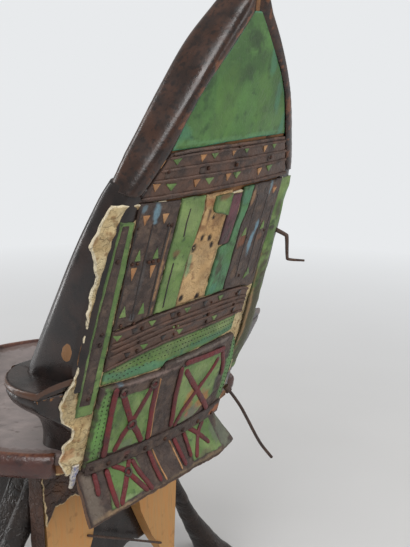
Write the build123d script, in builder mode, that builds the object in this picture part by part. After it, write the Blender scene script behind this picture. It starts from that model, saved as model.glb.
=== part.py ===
from build123d import *

import math
import os

os.makedirs("parts", exist_ok=True)

# Desert riding saddle: a round dished seat on four splayed limbs, a tall leaf-shaped backrest whose
# rear face carries the leather panels, and a pommel with a three-armed head in front.
# Millimetres, +Z up. The origin is on the ground under the middle of the saddle.
# The rider faces -Y, so the decorated rear face looks to +Y, and +X is the rider's left.

# Driving sizes of the whole saddle
shoulder_height = 588.0
rear_seat_y = 155.3
lean = 17.0
panel_width = 250.0
panel_drop = 312.0
crown_rise = 12.0
bend_radius = 957.0
cut_reach = 140.0
clearance = 0.3
layer_gap = 0.2

# Leather and hide
leather = 2.0
thin_leather = 1.2
stout_leather = 3.0
hide = 1.6

# Seat
seat_radius = 205.0
seat_y = 20.0
seat_underside = 299.0
seat_board_thickness = 10.0
rim_width = 15.0
rim_height = 26.0
cushion_edge = 12.0
cushion_middle = 4.0
seat_board_bottom = seat_underside + leather
seat_board_top = seat_board_bottom + seat_board_thickness
seat_board_radius = seat_radius - rim_width
shoulder_y = rear_seat_y + (shoulder_height - seat_board_top) * math.tan(math.radians(lean))

# Backrest board: the outline is given down the panel from the shoulder line, as shares of these
board_half_width = 148.0
board_thickness = 74.0
rear_corner = 6.0
front_round_share = 0.45
side_bulge_share = 0.42
hollow_share = 0.05
cover_split = 10.0
board_shares = (
    # along the panel drop, half width, thickness
    (-0.609, 0.088, 0.243),
    (-0.465, 0.338, 0.419),
    (-0.314, 0.554, 0.446),
    (-0.160, 0.736, 0.446),
    (0.0, 0.919, 0.432),
    (0.192, 0.986, 0.568),
    (0.401, 1.014, 0.730),
    (0.593, 1.007, 0.919),
    (0.769, 1.0, 1.081),
)

# Neck of the backrest, from the seat boards up to the flared lip of its collar
neck_rise = 87.0
collar_seat = seat_board_top + neck_rise
neck_half_width = 134.0
neck_front = 96.0
neck_rear = 215.0
spine_half_width = 126.0
spine_front = 140.0
lip_half_width = 186.0
lip_front = 88.0
neck_corner = 34.0
lip_corner = 60.0
flange_thickness = 9.0
flange_round = 3.5
neck_shares = ((0.0, 0.03), (0.39, 0.0), (0.70, 0.5), (0.90, 0.92), (1.0, 1.0))

# Pommel
pommel_y = -158.0
pommel_neck_rise = 61.0
pommel_seat = seat_board_top + pommel_neck_rise
pommel_lean = 26.0
pommel_half_width = 24.0
pommel_depth = 30.0
pommel_lip_half_width = 28.0
pommel_lip_depth = 34.0
pommel_corner = 11.0
pommel_shares = ((0.0, 0.05), (0.45, 0.0), (0.8, 0.6), (1.0, 1.0))
post_width = 46.0
post_top_width = 38.0
post_thickness = 22.0
post_length = 182.0
arm_span = 132.0
arm_width = 40.0
arm_flare = 48.0
head_length = 108.0

# Limbs, each a narrow curved leg that spreads into a long foot
limb_top_x = 62.0
limb_foot_x = 244.0
limb_foot_y = 60.0
limb_mirror_y = -25.0
foot_width = 40.0
foot_length = 86.0
limb_shares = (
    # height, way out to the foot, depth place, width, length
    (0.0, 1.0, 1.0, 1.0, 1.0),
    (0.05, 0.94, 0.9, 0.92, 0.72),
    (0.22, 0.76, 0.767, 0.56, 0.38),
    (0.502, 0.473, 0.80, 0.44, 0.34),
    (1.0, 0.0, 0.90, 0.44, 0.34),
)

# Fork boards and webs between the limbs
web_y = 71.4
web_thickness = 2.0
fork_thickness = 16.5
fork_half_width = 118.0
fork_board_shares = (
    # across as a share of the fork's half width, height as a share of the seat's underside
    (0.17, 1.0),
    (1.0, 1.0),
    (0.95, 0.602),
    (0.90, 0.234),
    (0.80, 0.234),
    (0.53, 0.401),
    (0.36, 0.542),
    (0.30, 0.68),
    (0.17, 0.80),
)
fork_web_shares = (
    (1.0, 1.0),
    (0.96, 0.46),
    (0.62, 0.42),
    (0.30, 0.50),
    (-0.20, 0.47),
    (-0.64, 0.40),
    (-0.97, 0.45),
    (-1.0, 1.0),
)
remnant_shares = (
    (0.40, 1.0),
    (1.0, 1.0),
    (0.952, 0.62),
    (0.93, 0.47),
    (0.86, 0.50),
    (0.90, 0.60),
    (0.83, 0.66),
    (0.87, 0.72),
    (0.74, 0.765),
    (0.62, 0.79),
    (0.48, 0.83),
)
skirt_front = -78.0
skirt_rear = 24.0
skirt_shares = ((0.06, 1.0), (0.27, 0.753), (0.53, 0.502), (0.70, 0.36), (0.79, 0.25))
tie_thickness = 3.0

# Frames of the rear face and of the kicked-out flap below it
crown_radius = ((panel_width / 2) ** 2 + crown_rise**2) / (2 * crown_rise)
lean_sin = math.sin(math.radians(lean))
lean_cos = math.cos(math.radians(lean))
panel = Plane(
    origin=(0, shoulder_y, shoulder_height), x_dir=(1, 0, 0), z_dir=(0, lean_cos, -lean_sin)
)

# Rear panels: distances down the panel and thicknesses in order from the hide outwards
panel_half = panel_width / 2
band_top = 48.0
strip_thickness = 2.0
band_thickness = 3.0
ridge_width = 2.6
ridge_height = 1.6
x_panel_thickness = 5.4
field_thickness = 0.8
strap_thickness = 1.2
strap_width = 6.5
rivet_strip_thickness = 2.5
rivet_radius = 3.0
rivet_count = 7
flap_kick = 20.0
flap_length = 50.0
flap_short_length = 42.0
flap_board_thickness = 4.0
flap_tuck = 14.0

face_0 = layer_gap
face_1 = hide + layer_gap
face_2 = face_1 + strip_thickness
band_face = face_1 + band_thickness
x_face = face_1 + x_panel_thickness
x_field_face = x_face + field_thickness
x_strap_face = x_field_face + strap_thickness
rivet_face = x_face + rivet_strip_thickness

# Outlines on the lower rear face: across as shares of half the panel width, down as shares of the drop
rawhide_shares = (
    (1.19, 0.0), (1.22, 0.05), (1.25, 0.12), (1.21, 0.18), (1.20, 0.23), (1.21, 0.33), (1.20, 0.42),
    (1.185, 0.51), (1.215, 0.61), (1.29, 0.68), (1.25, 0.75), (1.12, 0.785), (1.11, 0.82),
    (1.19, 0.845), (1.19, 0.91), (1.10, 0.965), (-0.98, 0.965), (-1.07, 0.9), (-1.08, 0.80),
    (-1.13, 0.71), (-1.18, 0.55), (-1.19, 0.38), (-1.17, 0.15), (-1.14, 0.0),
)
left_border_shares = (
    (1.096, 0.055), (1.128, 0.25), (1.144, 0.45), (1.144, 0.64), (1.13, 0.735), (0.976, 0.735),
    (0.968, 0.45), (0.965, 0.055),
)
brown_left_shares = (
    (0.955, 0.0), (0.955, 0.425), (0.8, 0.416), (0.64, 0.401), (0.585, 0.397), (0.57, 0.2), (0.555, 0.0),
)
green_pair_shares = (
    (0.545, 0.0), (0.56, 0.2), (0.575, 0.395), (0.33, 0.385), (0.325, 0.2), (0.27, 0.12), (0.28, 0.0),
)
bare_shares = (
    (0.27, 0.0), (0.26, 0.12), (0.315, 0.2), (0.32, 0.384), (-0.04, 0.381), (-0.045, 0.25),
    (-0.06, 0.1), (-0.07, 0.0),
)
purple_shares = ((-0.085, 0.0), (-0.075, 0.1), (-0.07, 0.19), (-0.19, 0.17), (-0.225, 0.1), (-0.205, 0.0))
teal_shares = (
    (-0.22, 0.0), (-0.235, 0.1), (-0.20, 0.18), (-0.07, 0.2), (-0.055, 0.38), (-0.31, 0.383),
    (-0.32, 0.15), (-0.38, 0.07), (-0.375, 0.0),
)
brown_right_shares = (
    (-0.39, 0.0), (-0.395, 0.07), (-0.335, 0.15), (-0.325, 0.383), (-0.62, 0.397), (-0.80, 0.42),
    (-0.83, 0.425), (-0.89, 0.43), (-0.895, 0.2), (-0.89, 0.0),
)
lower_band_lines = (
    # across as a share of half the panel width, top and foot as shares of the drop
    (0.95, 0.4295, 0.577),
    (0.80, 0.42, 0.558),
    (0.64, 0.404, 0.542),
    (0.48, 0.395, 0.529),
    (0.32, 0.389, 0.519),
    (0.0, 0.385, 0.5145),
    (-0.32, 0.387, 0.5145),
    (-0.64, 0.402, 0.519),
    (-0.80, 0.424, 0.525),
)
lower_band_shares = [(x_share, top) for x_share, top, foot in lower_band_lines] + [
    (x_share, foot) for x_share, top, foot in reversed(lower_band_lines)
]
green_strip_shares = (
    (0.95, 0.582), (0.80, 0.563), (0.64, 0.547), (0.48, 0.534), (0.32, 0.524), (0.0, 0.519),
    (-0.32, 0.519), (-0.64, 0.524), (-0.70, 0.526), (-0.71, 0.594), (-0.32, 0.597), (0.0, 0.600),
    (0.27, 0.603), (0.30, 0.622), (0.95, 0.628),
)
x_panel_shares = (
    (0.955, 0.632), (0.305, 0.626), (0.275, 0.607), (0.0, 0.604), (-0.32, 0.601), (-0.72, 0.598),
    (-0.82, 0.63), (-0.885, 0.75), (-0.87, 0.88), (-0.82, 0.969), (0.96, 0.969),
)
rivet_strip_shares = ((0.955, 0.914), (0.96, 0.965), (-0.82, 0.965), (-0.835, 0.914))
upper_ridge_shares = ((0.95, 0.76), (0.64, 0.83), (0.38, 0.89), (0.10, 0.95))
lower_ridge_shares = (0.02, 0.33, 0.48, 0.64, 0.92)
loose_strip_shares = (
    # down the panel drop, outward as a share of the cutting reach
    (0.004, 0.046), (0.15, 0.047), (0.31, 0.08), (0.45, 0.13), (0.60, 0.175), (0.72, 0.12), (0.82, 0.06),
)
loose_inner_share = 0.905
loose_outer_share = 1.13
x_field_shares = ((0.83, 0.29, 0.643, 0.908), (0.064, -0.67, 0.62, 0.908))
flap_field_shares = ((0.74, 0.30, 0.04, 0.82), (-0.27, -0.78, 0.04, 0.76))
rivet_pitch_share = 0.125
rivet_line_share = 0.94
rivet_shift_share = 0.07
flap_top_share = 0.97
flap_half_share = 1.0
flap_short_share = 0.84
flap_tuck_share = 0.80
arm_drop_share = 0.35
arm_rise_share = 0.55
tie_left_share = 0.44
tie_high_share = 0.572
tie_right_share = 0.66
tie_low_share = 0.341

# Thongs: a bent tab at the right edge and a long stiff one that falls from a knot
thong_turn_share = 0.83
tab_root = (-141.5, 217.6, 519.6)
tab_width = 3.2
tab_lift = 2.4
tab_points = [(0, 0), (13.0, -8.0), (15.0, -36.0), (37.0, -39.5)]
thong_thickness = 4.0
arc_share = 0.45
knot_radius = 4.0
thong_points = [
    (-119.9, 169.6, 317.5),
    (-130.0, 176.5, 301.0),
    (-141.0, 183.7, 275.0),
    (-151.0, 190.5, 250.0),
    (-158.8, 195.7, 234.6),
    (-168.0, 202.0, 220.5),
]

flap_start = panel.origin + panel.y_dir * (panel_drop + clearance) + panel.z_dir * x_face
flap_plane = Plane(
    origin=flap_start,
    x_dir=(1, 0, 0),
    z_dir=(0, math.cos(math.radians(flap_kick)), math.sin(math.radians(flap_kick))),
)
flap_head = Plane(
    origin=flap_start - flap_plane.y_dir * flap_tuck, x_dir=(1, 0, 0), z_dir=flap_plane.z_dir
)


def across(frame, v):
    """Plane across a rear frame at a distance down it; its own y runs forward from the face."""
    return Plane(origin=frame.origin + frame.y_dir * v, x_dir=(1, 0, 0), z_dir=frame.y_dir)


def station(v):
    """Plane across the backrest; above the shoulder line it follows the forward bend."""
    if v >= 0:
        return across(panel, v)
    turn = -v / bend_radius
    up = bend_radius * math.sin(turn)
    forward = bend_radius * (1 - math.cos(turn))
    origin = panel.origin - panel.y_dir * up - panel.z_dir * forward
    down = panel.y_dir * math.cos(turn) + panel.z_dir * math.sin(turn)
    return Plane(origin=origin, x_dir=(1, 0, 0), z_dir=down)


def crown_depth(half, out):
    """How far forward of its frame the crowned face lies at a half width, moved outward."""
    return crown_radius - crown_rise - math.sqrt((crown_radius + out) ** 2 - half**2)


def crown_layer(frame, low, high, bent=False):
    """The space between two distances outside a crowned rear face, below or above the shoulder."""
    reach = seat_radius + rim_width
    with BuildPart() as space:
        with BuildSketch(across(frame, 0)):
            with BuildLine():
                inner = crown_depth(reach, low)
                outer = crown_depth(reach, high)
                ThreePointArc((-reach, inner), (0, crown_depth(0, low)), (reach, inner))
                Line((reach, inner), (reach, outer))
                ThreePointArc((reach, outer), (0, crown_depth(0, high)), (-reach, outer))
                Line((-reach, outer), (-reach, inner))
            make_face()
        if bent:
            hinge = Axis(frame.origin - frame.z_dir * bend_radius, (1, 0, 0))
            revolve(axis=hinge, revolution_arc=math.degrees(2 * cut_reach / bend_radius))
        else:
            extrude(amount=panel_drop + cut_reach)
    return space.part


def board_body(grow):
    """The backrest from its tip to inside the collar, long at the rear, grown on its other sides."""
    with BuildPart() as body:
        for v_share, half_share, thick_share in board_shares:
            half = board_half_width * half_share + grow
            thick = board_thickness * thick_share + grow
            corner = half - rear_corner
            turn_in = half - thick * front_round_share
            bulge = thick * side_bulge_share
            v = panel_drop * v_share
            if v_share == board_shares[0][0]:
                v = v - grow
            with BuildSketch(station(v)):
                with BuildLine():
                    Line((-corner, -2 * crown_rise), (corner, -2 * crown_rise))
                    Line((corner, -2 * crown_rise), (corner, 0))
                    ThreePointArc((corner, 0), (half, bulge), (turn_in, thick))
                    ThreePointArc((turn_in, thick), (0, thick - half * hollow_share), (-turn_in, thick))
                    ThreePointArc((-turn_in, thick), (-half, bulge), (-corner, 0))
                    Line((-corner, 0), (-corner, -2 * crown_rise))
                make_face()
        loft()
    return body.part


def neck_body(grow):
    """The backrest's neck and flared lip, grown at its front and sides."""
    with BuildPart() as body:
        for height_share, spread_share in neck_shares:
            half = neck_half_width + (lip_half_width - neck_half_width) * spread_share + grow
            front = neck_front + (lip_front - neck_front) * spread_share - grow
            corner = neck_corner + (lip_corner - neck_corner) * spread_share + grow
            with BuildSketch(Plane.XY.offset(seat_board_top + neck_rise * height_share)):
                with Locations((0, (front + neck_rear) / 2)):
                    RectangleRounded(2 * half, neck_rear - front, corner)
        loft()
    return body.part


def pommel_neck_body(grow):
    """The pommel's neck with its small flared lip, grown all round."""
    with BuildPart() as body:
        for height_share, spread_share in pommel_shares:
            half = pommel_half_width + (pommel_lip_half_width - pommel_half_width) * spread_share
            depth = pommel_depth + (pommel_lip_depth - pommel_depth) * spread_share
            with BuildSketch(Plane.XY.offset(seat_board_top + pommel_neck_rise * height_share)):
                with Locations((0, pommel_y)):
                    RectangleRounded(2 * (half + grow), depth + 2 * grow, pommel_corner)
        loft()
    return body.part


def limb_body(side, rear, grow):
    """A limb and its foot: side is 1 on the rider's left and -1 on the right."""
    with BuildPart() as body:
        for height_share, out_share, y_share, width_share, length_share in limb_shares:
            x = side * (limb_top_x + (limb_foot_x - limb_top_x) * out_share)
            y = limb_foot_y * y_share
            if not rear:
                y = 2 * limb_mirror_y - y
            width = foot_width * width_share + 2 * grow
            length = foot_length * length_share + 2 * grow
            with BuildSketch(Plane.XY.offset(seat_underside * height_share)):
                with Locations((x, y)):
                    Ellipse(width / 2, length / 2)
        loft()
    return body.part


def spread(shares, half_width, height, side=1):
    """Points of an outline given as shares of a half width and a height."""
    return [(side * half_width * across_share, height * up_share) for across_share, up_share in shares]


behind = crown_layer(panel, 0, cut_reach)
behind_bent = crown_layer(panel, 0, cut_reach, bent=True)
beyond_cover = crown_layer(panel, leather, cut_reach, bent=True)
board_core = board_body(0)
board_skin = board_body(leather)
neck_core = neck_body(0)
neck_skin = neck_body(stout_leather)
pommel_neck_core = pommel_neck_body(0)
pommel_neck_skin = pommel_neck_body(leather)

# Space that both necks take in the seat cover and the rim
with BuildPart() as neck_notch:
    with BuildSketch(Plane.XY.offset(seat_underside)):
        notch_half = neck_half_width + 2 * stout_leather
        notch_front = neck_front - 2 * stout_leather
        with Locations((0, (notch_front + neck_rear) / 2)):
            RectangleRounded(2 * notch_half, neck_rear - notch_front, neck_corner)
        with Locations((0, pommel_y)):
            pommel_notch = 2 * (pommel_half_width + stout_leather)
            RectangleRounded(pommel_notch, pommel_depth + 2 * stout_leather, pommel_corner)
    extrude(amount=rim_height + cushion_edge)

# Wooden pegs that pin the backrest and the pommel to the seat boards
peg_radius = 6.0
peg_x = 70.0
peg_y = 125.0
peg_length = 51.0
peg_places = ((peg_x, peg_y), (-peg_x, peg_y))

with BuildPart() as backrest_pegs:
    with BuildSketch(Plane.XY.offset(seat_board_bottom)):
        with Locations(*peg_places):
            Circle(peg_radius)
    extrude(amount=peg_length)
backrest_pegs.part.label = "backrest_pegs"
export_step(backrest_pegs.part, "parts/backrest_pegs.step")

with BuildPart() as pommel_peg:
    with BuildSketch(Plane.XY.offset(seat_board_bottom)):
        with Locations((0, pommel_y)):
            Circle(peg_radius)
    extrude(amount=peg_length)
pommel_peg.part.label = "pommel_peg"
export_step(pommel_peg.part, "parts/pommel_peg.step")

# Seat boards, one for each half of the round seat
for side, side_name in ((1, "left"), (-1, "right")):
    with BuildPart() as seat_board:
        with BuildSketch(Plane.XY.offset(seat_board_bottom)):
            with Locations((0, seat_y)):
                Circle(seat_board_radius)
            with Locations((side * seat_radius / 2, seat_y)):
                Rectangle(seat_radius, 2 * seat_radius, mode=Mode.INTERSECT)
            with Locations(*peg_places, (0, pommel_y)):
                Circle(peg_radius, mode=Mode.SUBTRACT)
        extrude(amount=seat_board_thickness)
        add(behind, mode=Mode.SUBTRACT)
    seat_board.part.label = f"seat_board_{side_name}"
    export_step(seat_board.part, f"parts/seat_board_{side_name}.step")

# Hide stretched under the seat boards
seat_upright = Plane.XZ.offset(-seat_y)
seat_axis = Axis((0, seat_y, 0), (0, 0, 1))
with BuildPart() as seat_underside_hide:
    with BuildSketch(Plane.XY.offset(seat_underside)):
        with Locations((0, seat_y)):
            Circle(seat_board_radius - clearance)
    extrude(amount=leather)
    add(crown_layer(panel, -leather, cut_reach), mode=Mode.SUBTRACT)
seat_underside_hide.part.label = "seat_underside_hide"
export_step(seat_underside_hide.part, "parts/seat_underside_hide.step")

# Dished leather seat, notched round both necks
with BuildPart() as seat_cover:
    with BuildSketch(seat_upright):
        with BuildLine():
            edge_top = seat_board_top + cushion_edge
            middle_top = seat_board_top + cushion_middle
            Line((0, middle_top), (0, seat_board_top))
            Line((0, seat_board_top), (seat_board_radius, seat_board_top))
            Line((seat_board_radius, seat_board_top), (seat_board_radius, edge_top))
            Bezier(
                (0, middle_top),
                (seat_board_radius / 3, middle_top),
                (2 * seat_board_radius / 3, middle_top),
                (seat_board_radius, edge_top),
            )
        make_face()
    revolve(axis=seat_axis)
    add(behind, mode=Mode.SUBTRACT)
    add(neck_notch.part, mode=Mode.SUBTRACT)
seat_cover.part.label = "seat_cover"
export_step(seat_cover.part, "parts/seat_cover.step")

# Rolled leather rim round the seat, cut off at the backrest's rear face
with BuildPart() as seat_rim:
    with BuildSketch(seat_upright):
        with BuildLine():
            rim_top = seat_underside + rim_height
            roll_start = seat_board_radius + rim_width / 4
            Line((roll_start, rim_top), (seat_board_radius, rim_top))
            Line((seat_board_radius, rim_top), (seat_board_radius, seat_underside))
            Line((seat_board_radius, seat_underside), (roll_start, seat_underside))
            ThreePointArc(
                (roll_start, seat_underside),
                (seat_radius, seat_underside + rim_height / 2),
                (roll_start, rim_top),
            )
        make_face()
    revolve(axis=seat_axis)
    add(behind, mode=Mode.SUBTRACT)
    add(neck_notch.part, mode=Mode.SUBTRACT)
seat_rim.part.label = "seat_rim"
export_step(seat_rim.part, "parts/seat_rim.step")

# Neck of the backrest, carved from one block, with its leather and its flared flange
with BuildPart() as backrest_neck:
    add(neck_core)
    with BuildSketch(Plane.XY.offset(seat_board_top)):
        with Locations((0, (spine_front + neck_rear) / 2)):
            Rectangle(2 * spine_half_width, neck_rear - spine_front)
    extrude(amount=neck_rise)
    add(behind, mode=Mode.SUBTRACT)
    add(backrest_pegs.part, mode=Mode.SUBTRACT)
backrest_neck.part.label = "backrest_neck"
export_step(backrest_neck.part, "parts/backrest_neck.step")

with BuildPart() as neck_cover:
    add(neck_skin)
    add(backrest_neck.part, mode=Mode.SUBTRACT)
    add(behind, mode=Mode.SUBTRACT)
    add(backrest_pegs.part, mode=Mode.SUBTRACT)
neck_cover.part.label = "neck_cover"
export_step(neck_cover.part, "parts/neck_cover.step")

with BuildPart() as collar_flange:
    with BuildSketch(Plane.XY.offset(collar_seat)):
        flange_front = lip_front - stout_leather
        flange_half = lip_half_width + stout_leather
        with Locations((0, (flange_front + neck_rear) / 2)):
            RectangleRounded(2 * flange_half, neck_rear - flange_front, lip_corner + stout_leather)
    extrude(amount=flange_thickness)
    fillet(collar_flange.edges().group_by(Axis.Z)[-1], flange_round)
    add(board_skin, mode=Mode.SUBTRACT)
    add(behind, mode=Mode.SUBTRACT)
collar_flange.part.label = "collar_flange"
export_step(collar_flange.part, "parts/collar_flange.step")

# Backrest board, cut level where it stands on the neck
with BuildPart() as backrest_board:
    add(board_core)
    split(bisect_by=Plane.XY.offset(collar_seat), keep=Keep.TOP)
    add(behind, mode=Mode.SUBTRACT)
    add(behind_bent, mode=Mode.SUBTRACT)
backrest_board.part.label = "backrest_board"
export_step(backrest_board.part, "parts/backrest_board.step")

# Outline of the green field and of the banded strip below it, let into the upper cover
field_shares = (
    # half width as a share of half the panel width, distance above the shoulder as one of the drop
    (0.05, 0.561),
    (0.20, 0.492),
    (0.328, 0.433),
    (0.45, 0.376),
    (0.56, 0.314),
    (0.66, 0.232),
    (0.744, 0.154),
)
field_side = [(panel_half * x_share, -panel_drop * v_share) for x_share, v_share in field_shares]
field_foot_share = 0.99
field_outline = (
    field_side
    + [(panel_half * field_foot_share, 0), (-panel_half * field_foot_share, 0)]
    + [(-x, v) for x, v in reversed(field_side)]
)

with BuildPart() as backrest_upper_cover:
    add(board_skin)
    split(bisect_by=station(-cover_split), keep=Keep.BOTTOM)
    add(beyond_cover, mode=Mode.SUBTRACT)
    with BuildSketch(panel.offset(-crown_rise - 2 * leather)):
        with BuildLine():
            Polyline(*field_outline, close=True)
        make_face()
    extrude(amount=cut_reach, mode=Mode.SUBTRACT)
    add(backrest_board.part, mode=Mode.SUBTRACT)
backrest_upper_cover.part.label = "backrest_upper_cover"
export_step(backrest_upper_cover.part, "parts/backrest_upper_cover.step")

with BuildPart() as backrest_lower_cover:
    add(board_skin)
    split(bisect_by=station(-cover_split), keep=Keep.TOP)
    split(bisect_by=Plane.XY.offset(collar_seat), keep=Keep.TOP)
    add(behind, mode=Mode.SUBTRACT)
    add(behind_bent, mode=Mode.SUBTRACT)
    add(backrest_board.part, mode=Mode.SUBTRACT)
backrest_lower_cover.part.label = "backrest_lower_cover"
export_step(backrest_lower_cover.part, "parts/backrest_lower_cover.step")

# Pommel: neck, and a post that ends in a three-armed head, each with its leather
with BuildPart() as pommel_neck:
    add(pommel_neck_core)
    add(pommel_peg.part, mode=Mode.SUBTRACT)
pommel_neck.part.label = "pommel_neck"
export_step(pommel_neck.part, "parts/pommel_neck.step")

with BuildPart() as pommel_neck_cover:
    add(pommel_neck_skin)
    add(pommel_neck_core, mode=Mode.SUBTRACT)
pommel_neck_cover.part.label = "pommel_neck_cover"
export_step(pommel_neck_cover.part, "parts/pommel_neck_cover.step")

pommel_plane = Plane(
    origin=(0, pommel_y, pommel_seat),
    x_dir=(1, 0, 0),
    z_dir=(0, -math.cos(math.radians(pommel_lean)), -math.sin(math.radians(pommel_lean))),
)


def pommel_outline(grow):
    """Half of the post and head outline, seen from the front, from its foot up to its top."""
    arm_low = post_length - arm_width * arm_drop_share
    arm_high = post_length + arm_width * arm_rise_share
    head_top = post_length + head_length
    waist = post_top_width / 2 + grow
    tip = arm_flare / 2 + grow
    return [
        (0, -post_thickness),
        (post_width / 2 + grow, -post_thickness),
        (post_width / 2 + grow, 0),
        (waist, arm_low - arm_width / 2 - grow),
        (arm_span / 2 + grow, arm_low - grow),
        (arm_span / 2 + grow, arm_high + grow),
        (waist, arm_high + arm_width / 4 + grow),
        (waist, head_top - arm_flare + grow),
        (tip, head_top - arm_flare / 4 + grow),
        (0, head_top + grow),
    ]


def pommel_body(grow):
    """The post and head as one plate, grown all round and cut level at its foot."""
    half = pommel_outline(grow)
    with BuildPart() as body:
        with BuildSketch(pommel_plane.offset(-post_thickness / 2 - grow)):
            with BuildLine():
                Polyline(*half, *[(-x, y) for x, y in reversed(half[1:-1])], close=True)
            make_face()
        extrude(amount=post_thickness + 2 * grow)
        split(bisect_by=Plane.XY.offset(pommel_seat), keep=Keep.TOP)
    return body.part


pommel_core = pommel_body(0)
with BuildPart() as pommel_post:
    add(pommel_core)
pommel_post.part.label = "pommel_post"
export_step(pommel_post.part, "parts/pommel_post.step")

with BuildPart() as pommel_cover:
    add(pommel_body(leather))
    add(pommel_core, mode=Mode.SUBTRACT)
pommel_cover.part.label = "pommel_cover"
export_step(pommel_cover.part, "parts/pommel_cover.step")

# Four limbs with their leather, the webs and bare fork boards between each pair, and the skirts
for rear, end_name in ((True, "rear"), (False, "front")):
    for side, side_name in ((1, "left"), (-1, "right")):
        limb_core = limb_body(side, rear, 0)
        limb_skin = limb_body(side, rear, leather)
        with BuildPart() as leg:
            add(limb_core)
        leg.part.label = f"{end_name}_leg_{side_name}"
        export_step(leg.part, f"parts/{end_name}_leg_{side_name}.step")
        with BuildPart() as leg_cover:
            add(limb_skin)
            add(limb_core, mode=Mode.SUBTRACT)
        leg_cover.part.label = f"{end_name}_leg_cover_{side_name}"
        export_step(leg_cover.part, f"parts/{end_name}_leg_cover_{side_name}.step")

    outward = 1 if rear else -1
    web_face = web_y if rear else 2 * limb_mirror_y - web_y
    fork_face = web_face + outward * (web_thickness + clearance)
    with BuildPart() as fork_web:
        with BuildSketch(Plane.XZ.offset(-web_face)):
            with BuildLine():
                Polyline(*spread(fork_web_shares, fork_half_width, seat_underside), close=True)
            make_face()
        extrude(amount=-outward * web_thickness)
    fork_web.part.label = f"{end_name}_fork_web"
    export_step(fork_web.part, f"parts/{end_name}_fork_web.step")
    for side, side_name in ((1, "left"), (-1, "right")):
        with BuildPart() as fork_board:
            with BuildSketch(Plane.XZ.offset(-fork_face)):
                with BuildLine():
                    edge = spread(fork_board_shares, fork_half_width, seat_underside, side)
                    Polyline(*edge, close=True)
                make_face()
            extrude(amount=-outward * fork_thickness)
        fork_board.part.label = f"{end_name}_fork_board_{side_name}"
        export_step(fork_board.part, f"parts/{end_name}_fork_board_{side_name}.step")

for side, side_name in ((1, "left"), (-1, "right")):
    fall = [
        (side * (limb_top_x + (limb_foot_x - limb_top_x) * out_share), seat_underside * up_share)
        for out_share, up_share in skirt_shares
    ]
    with BuildPart() as side_skirt:
        with BuildSketch(Plane.XZ.offset(-skirt_rear)):
            with BuildLine():
                Polyline(*fall, *[(x + side * stout_leather, z) for x, z in reversed(fall)], close=True)
            make_face()
        extrude(amount=skirt_rear - skirt_front)
    side_skirt.part.label = f"side_skirt_{side_name}"
    export_step(side_skirt.part, f"parts/side_skirt_{side_name}.step")

# Torn hide left on one rear fork board, and a thong tied across both
fork_back = web_y + web_thickness + clearance + fork_thickness
with BuildPart() as fork_hide_remnant:
    with BuildSketch(Plane.XZ.offset(-fork_back)):
        with BuildLine():
            Polyline(*spread(remnant_shares, fork_half_width, seat_underside), close=True)
        make_face()
    extrude(amount=-hide)
fork_hide_remnant.part.label = "fork_hide_remnant"
export_step(fork_hide_remnant.part, "parts/fork_hide_remnant.step")

tie_y = fork_back + clearance + tie_thickness / 2
tie_start = Vector(fork_half_width * tie_left_share, tie_y, seat_underside * tie_high_share)
tie_end = Vector(-fork_half_width * tie_right_share, tie_y, seat_underside * tie_low_share)
tie_run = tie_end - tie_start
with BuildPart() as fork_tie:
    with BuildSketch(Plane(origin=tie_start, z_dir=tie_run)):
        Circle(tie_thickness / 2)
    extrude(amount=tie_run.length)
fork_tie.part.label = "fork_tie"
export_step(fork_tie.part, "parts/fork_tie.step")

# Upper rear face: the green field, the banded strip and, on both bands, the raised cords
field_space = crown_layer(panel, face_0, hide, bent=True)
upper_band_space = crown_layer(panel, face_0, band_thickness, bent=True)
upper_ridge_face = band_thickness + layer_gap
upper_ridge_space = crown_layer(panel, upper_ridge_face, upper_ridge_face + ridge_height, bent=True)
lower_ridge_space = crown_layer(panel, band_face + layer_gap, band_face + ridge_height)

with BuildPart() as green_field:
    with BuildSketch(panel):
        with BuildLine():
            Polyline(*field_side, *[(-x, v) for x, v in reversed(field_side)], close=True)
        make_face()
        with Locations((0, -band_top / 2)):
            Rectangle(panel_width, band_top + 2 * clearance, mode=Mode.SUBTRACT)
    extrude(amount=cut_reach, both=True)
    add(field_space, mode=Mode.INTERSECT)
green_field.part.label = "green_field"
export_step(green_field.part, "parts/green_field.step")

with BuildPart() as upper_band:
    with BuildSketch(panel):
        with BuildLine():
            Polyline(*field_outline, close=True)
        make_face()
        with Locations((0, -band_top / 2 - clearance)):
            Rectangle(panel_width, band_top, mode=Mode.INTERSECT)
    extrude(amount=cut_reach, both=True)
    add(upper_band_space, mode=Mode.INTERSECT)
upper_band.part.label = "upper_band"
export_step(upper_band.part, "parts/upper_band.step")

ridges = []
for v_share, half_share in upper_ridge_shares:
    with BuildPart() as ridge:
        with BuildSketch(panel):
            with Locations((0, -band_top * v_share)):
                Rectangle(panel_width * half_share, ridge_width)
        extrude(amount=cut_reach, both=True)
        add(upper_ridge_space, mode=Mode.INTERSECT)
    ridges.append(ridge.part)
for fall_share in lower_ridge_shares:
    upper_line = [
        (panel_half * x_share, panel_drop * (top + (foot - top) * fall_share))
        for x_share, top, foot in lower_band_lines
    ]
    with BuildPart() as ridge:
        with BuildSketch(panel):
            with BuildLine():
                Polyline(*upper_line, *[(x, v + ridge_width) for x, v in reversed(upper_line)], close=True)
            make_face()
        extrude(amount=cut_reach, both=True)
        add(lower_ridge_space, mode=Mode.INTERSECT)
    ridges.append(ridge.part)
with BuildPart() as band_ridges:
    add(ridges)
band_ridges.part.label = "band_ridges"
export_step(band_ridges.part, "parts/band_ridges.step")

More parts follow.
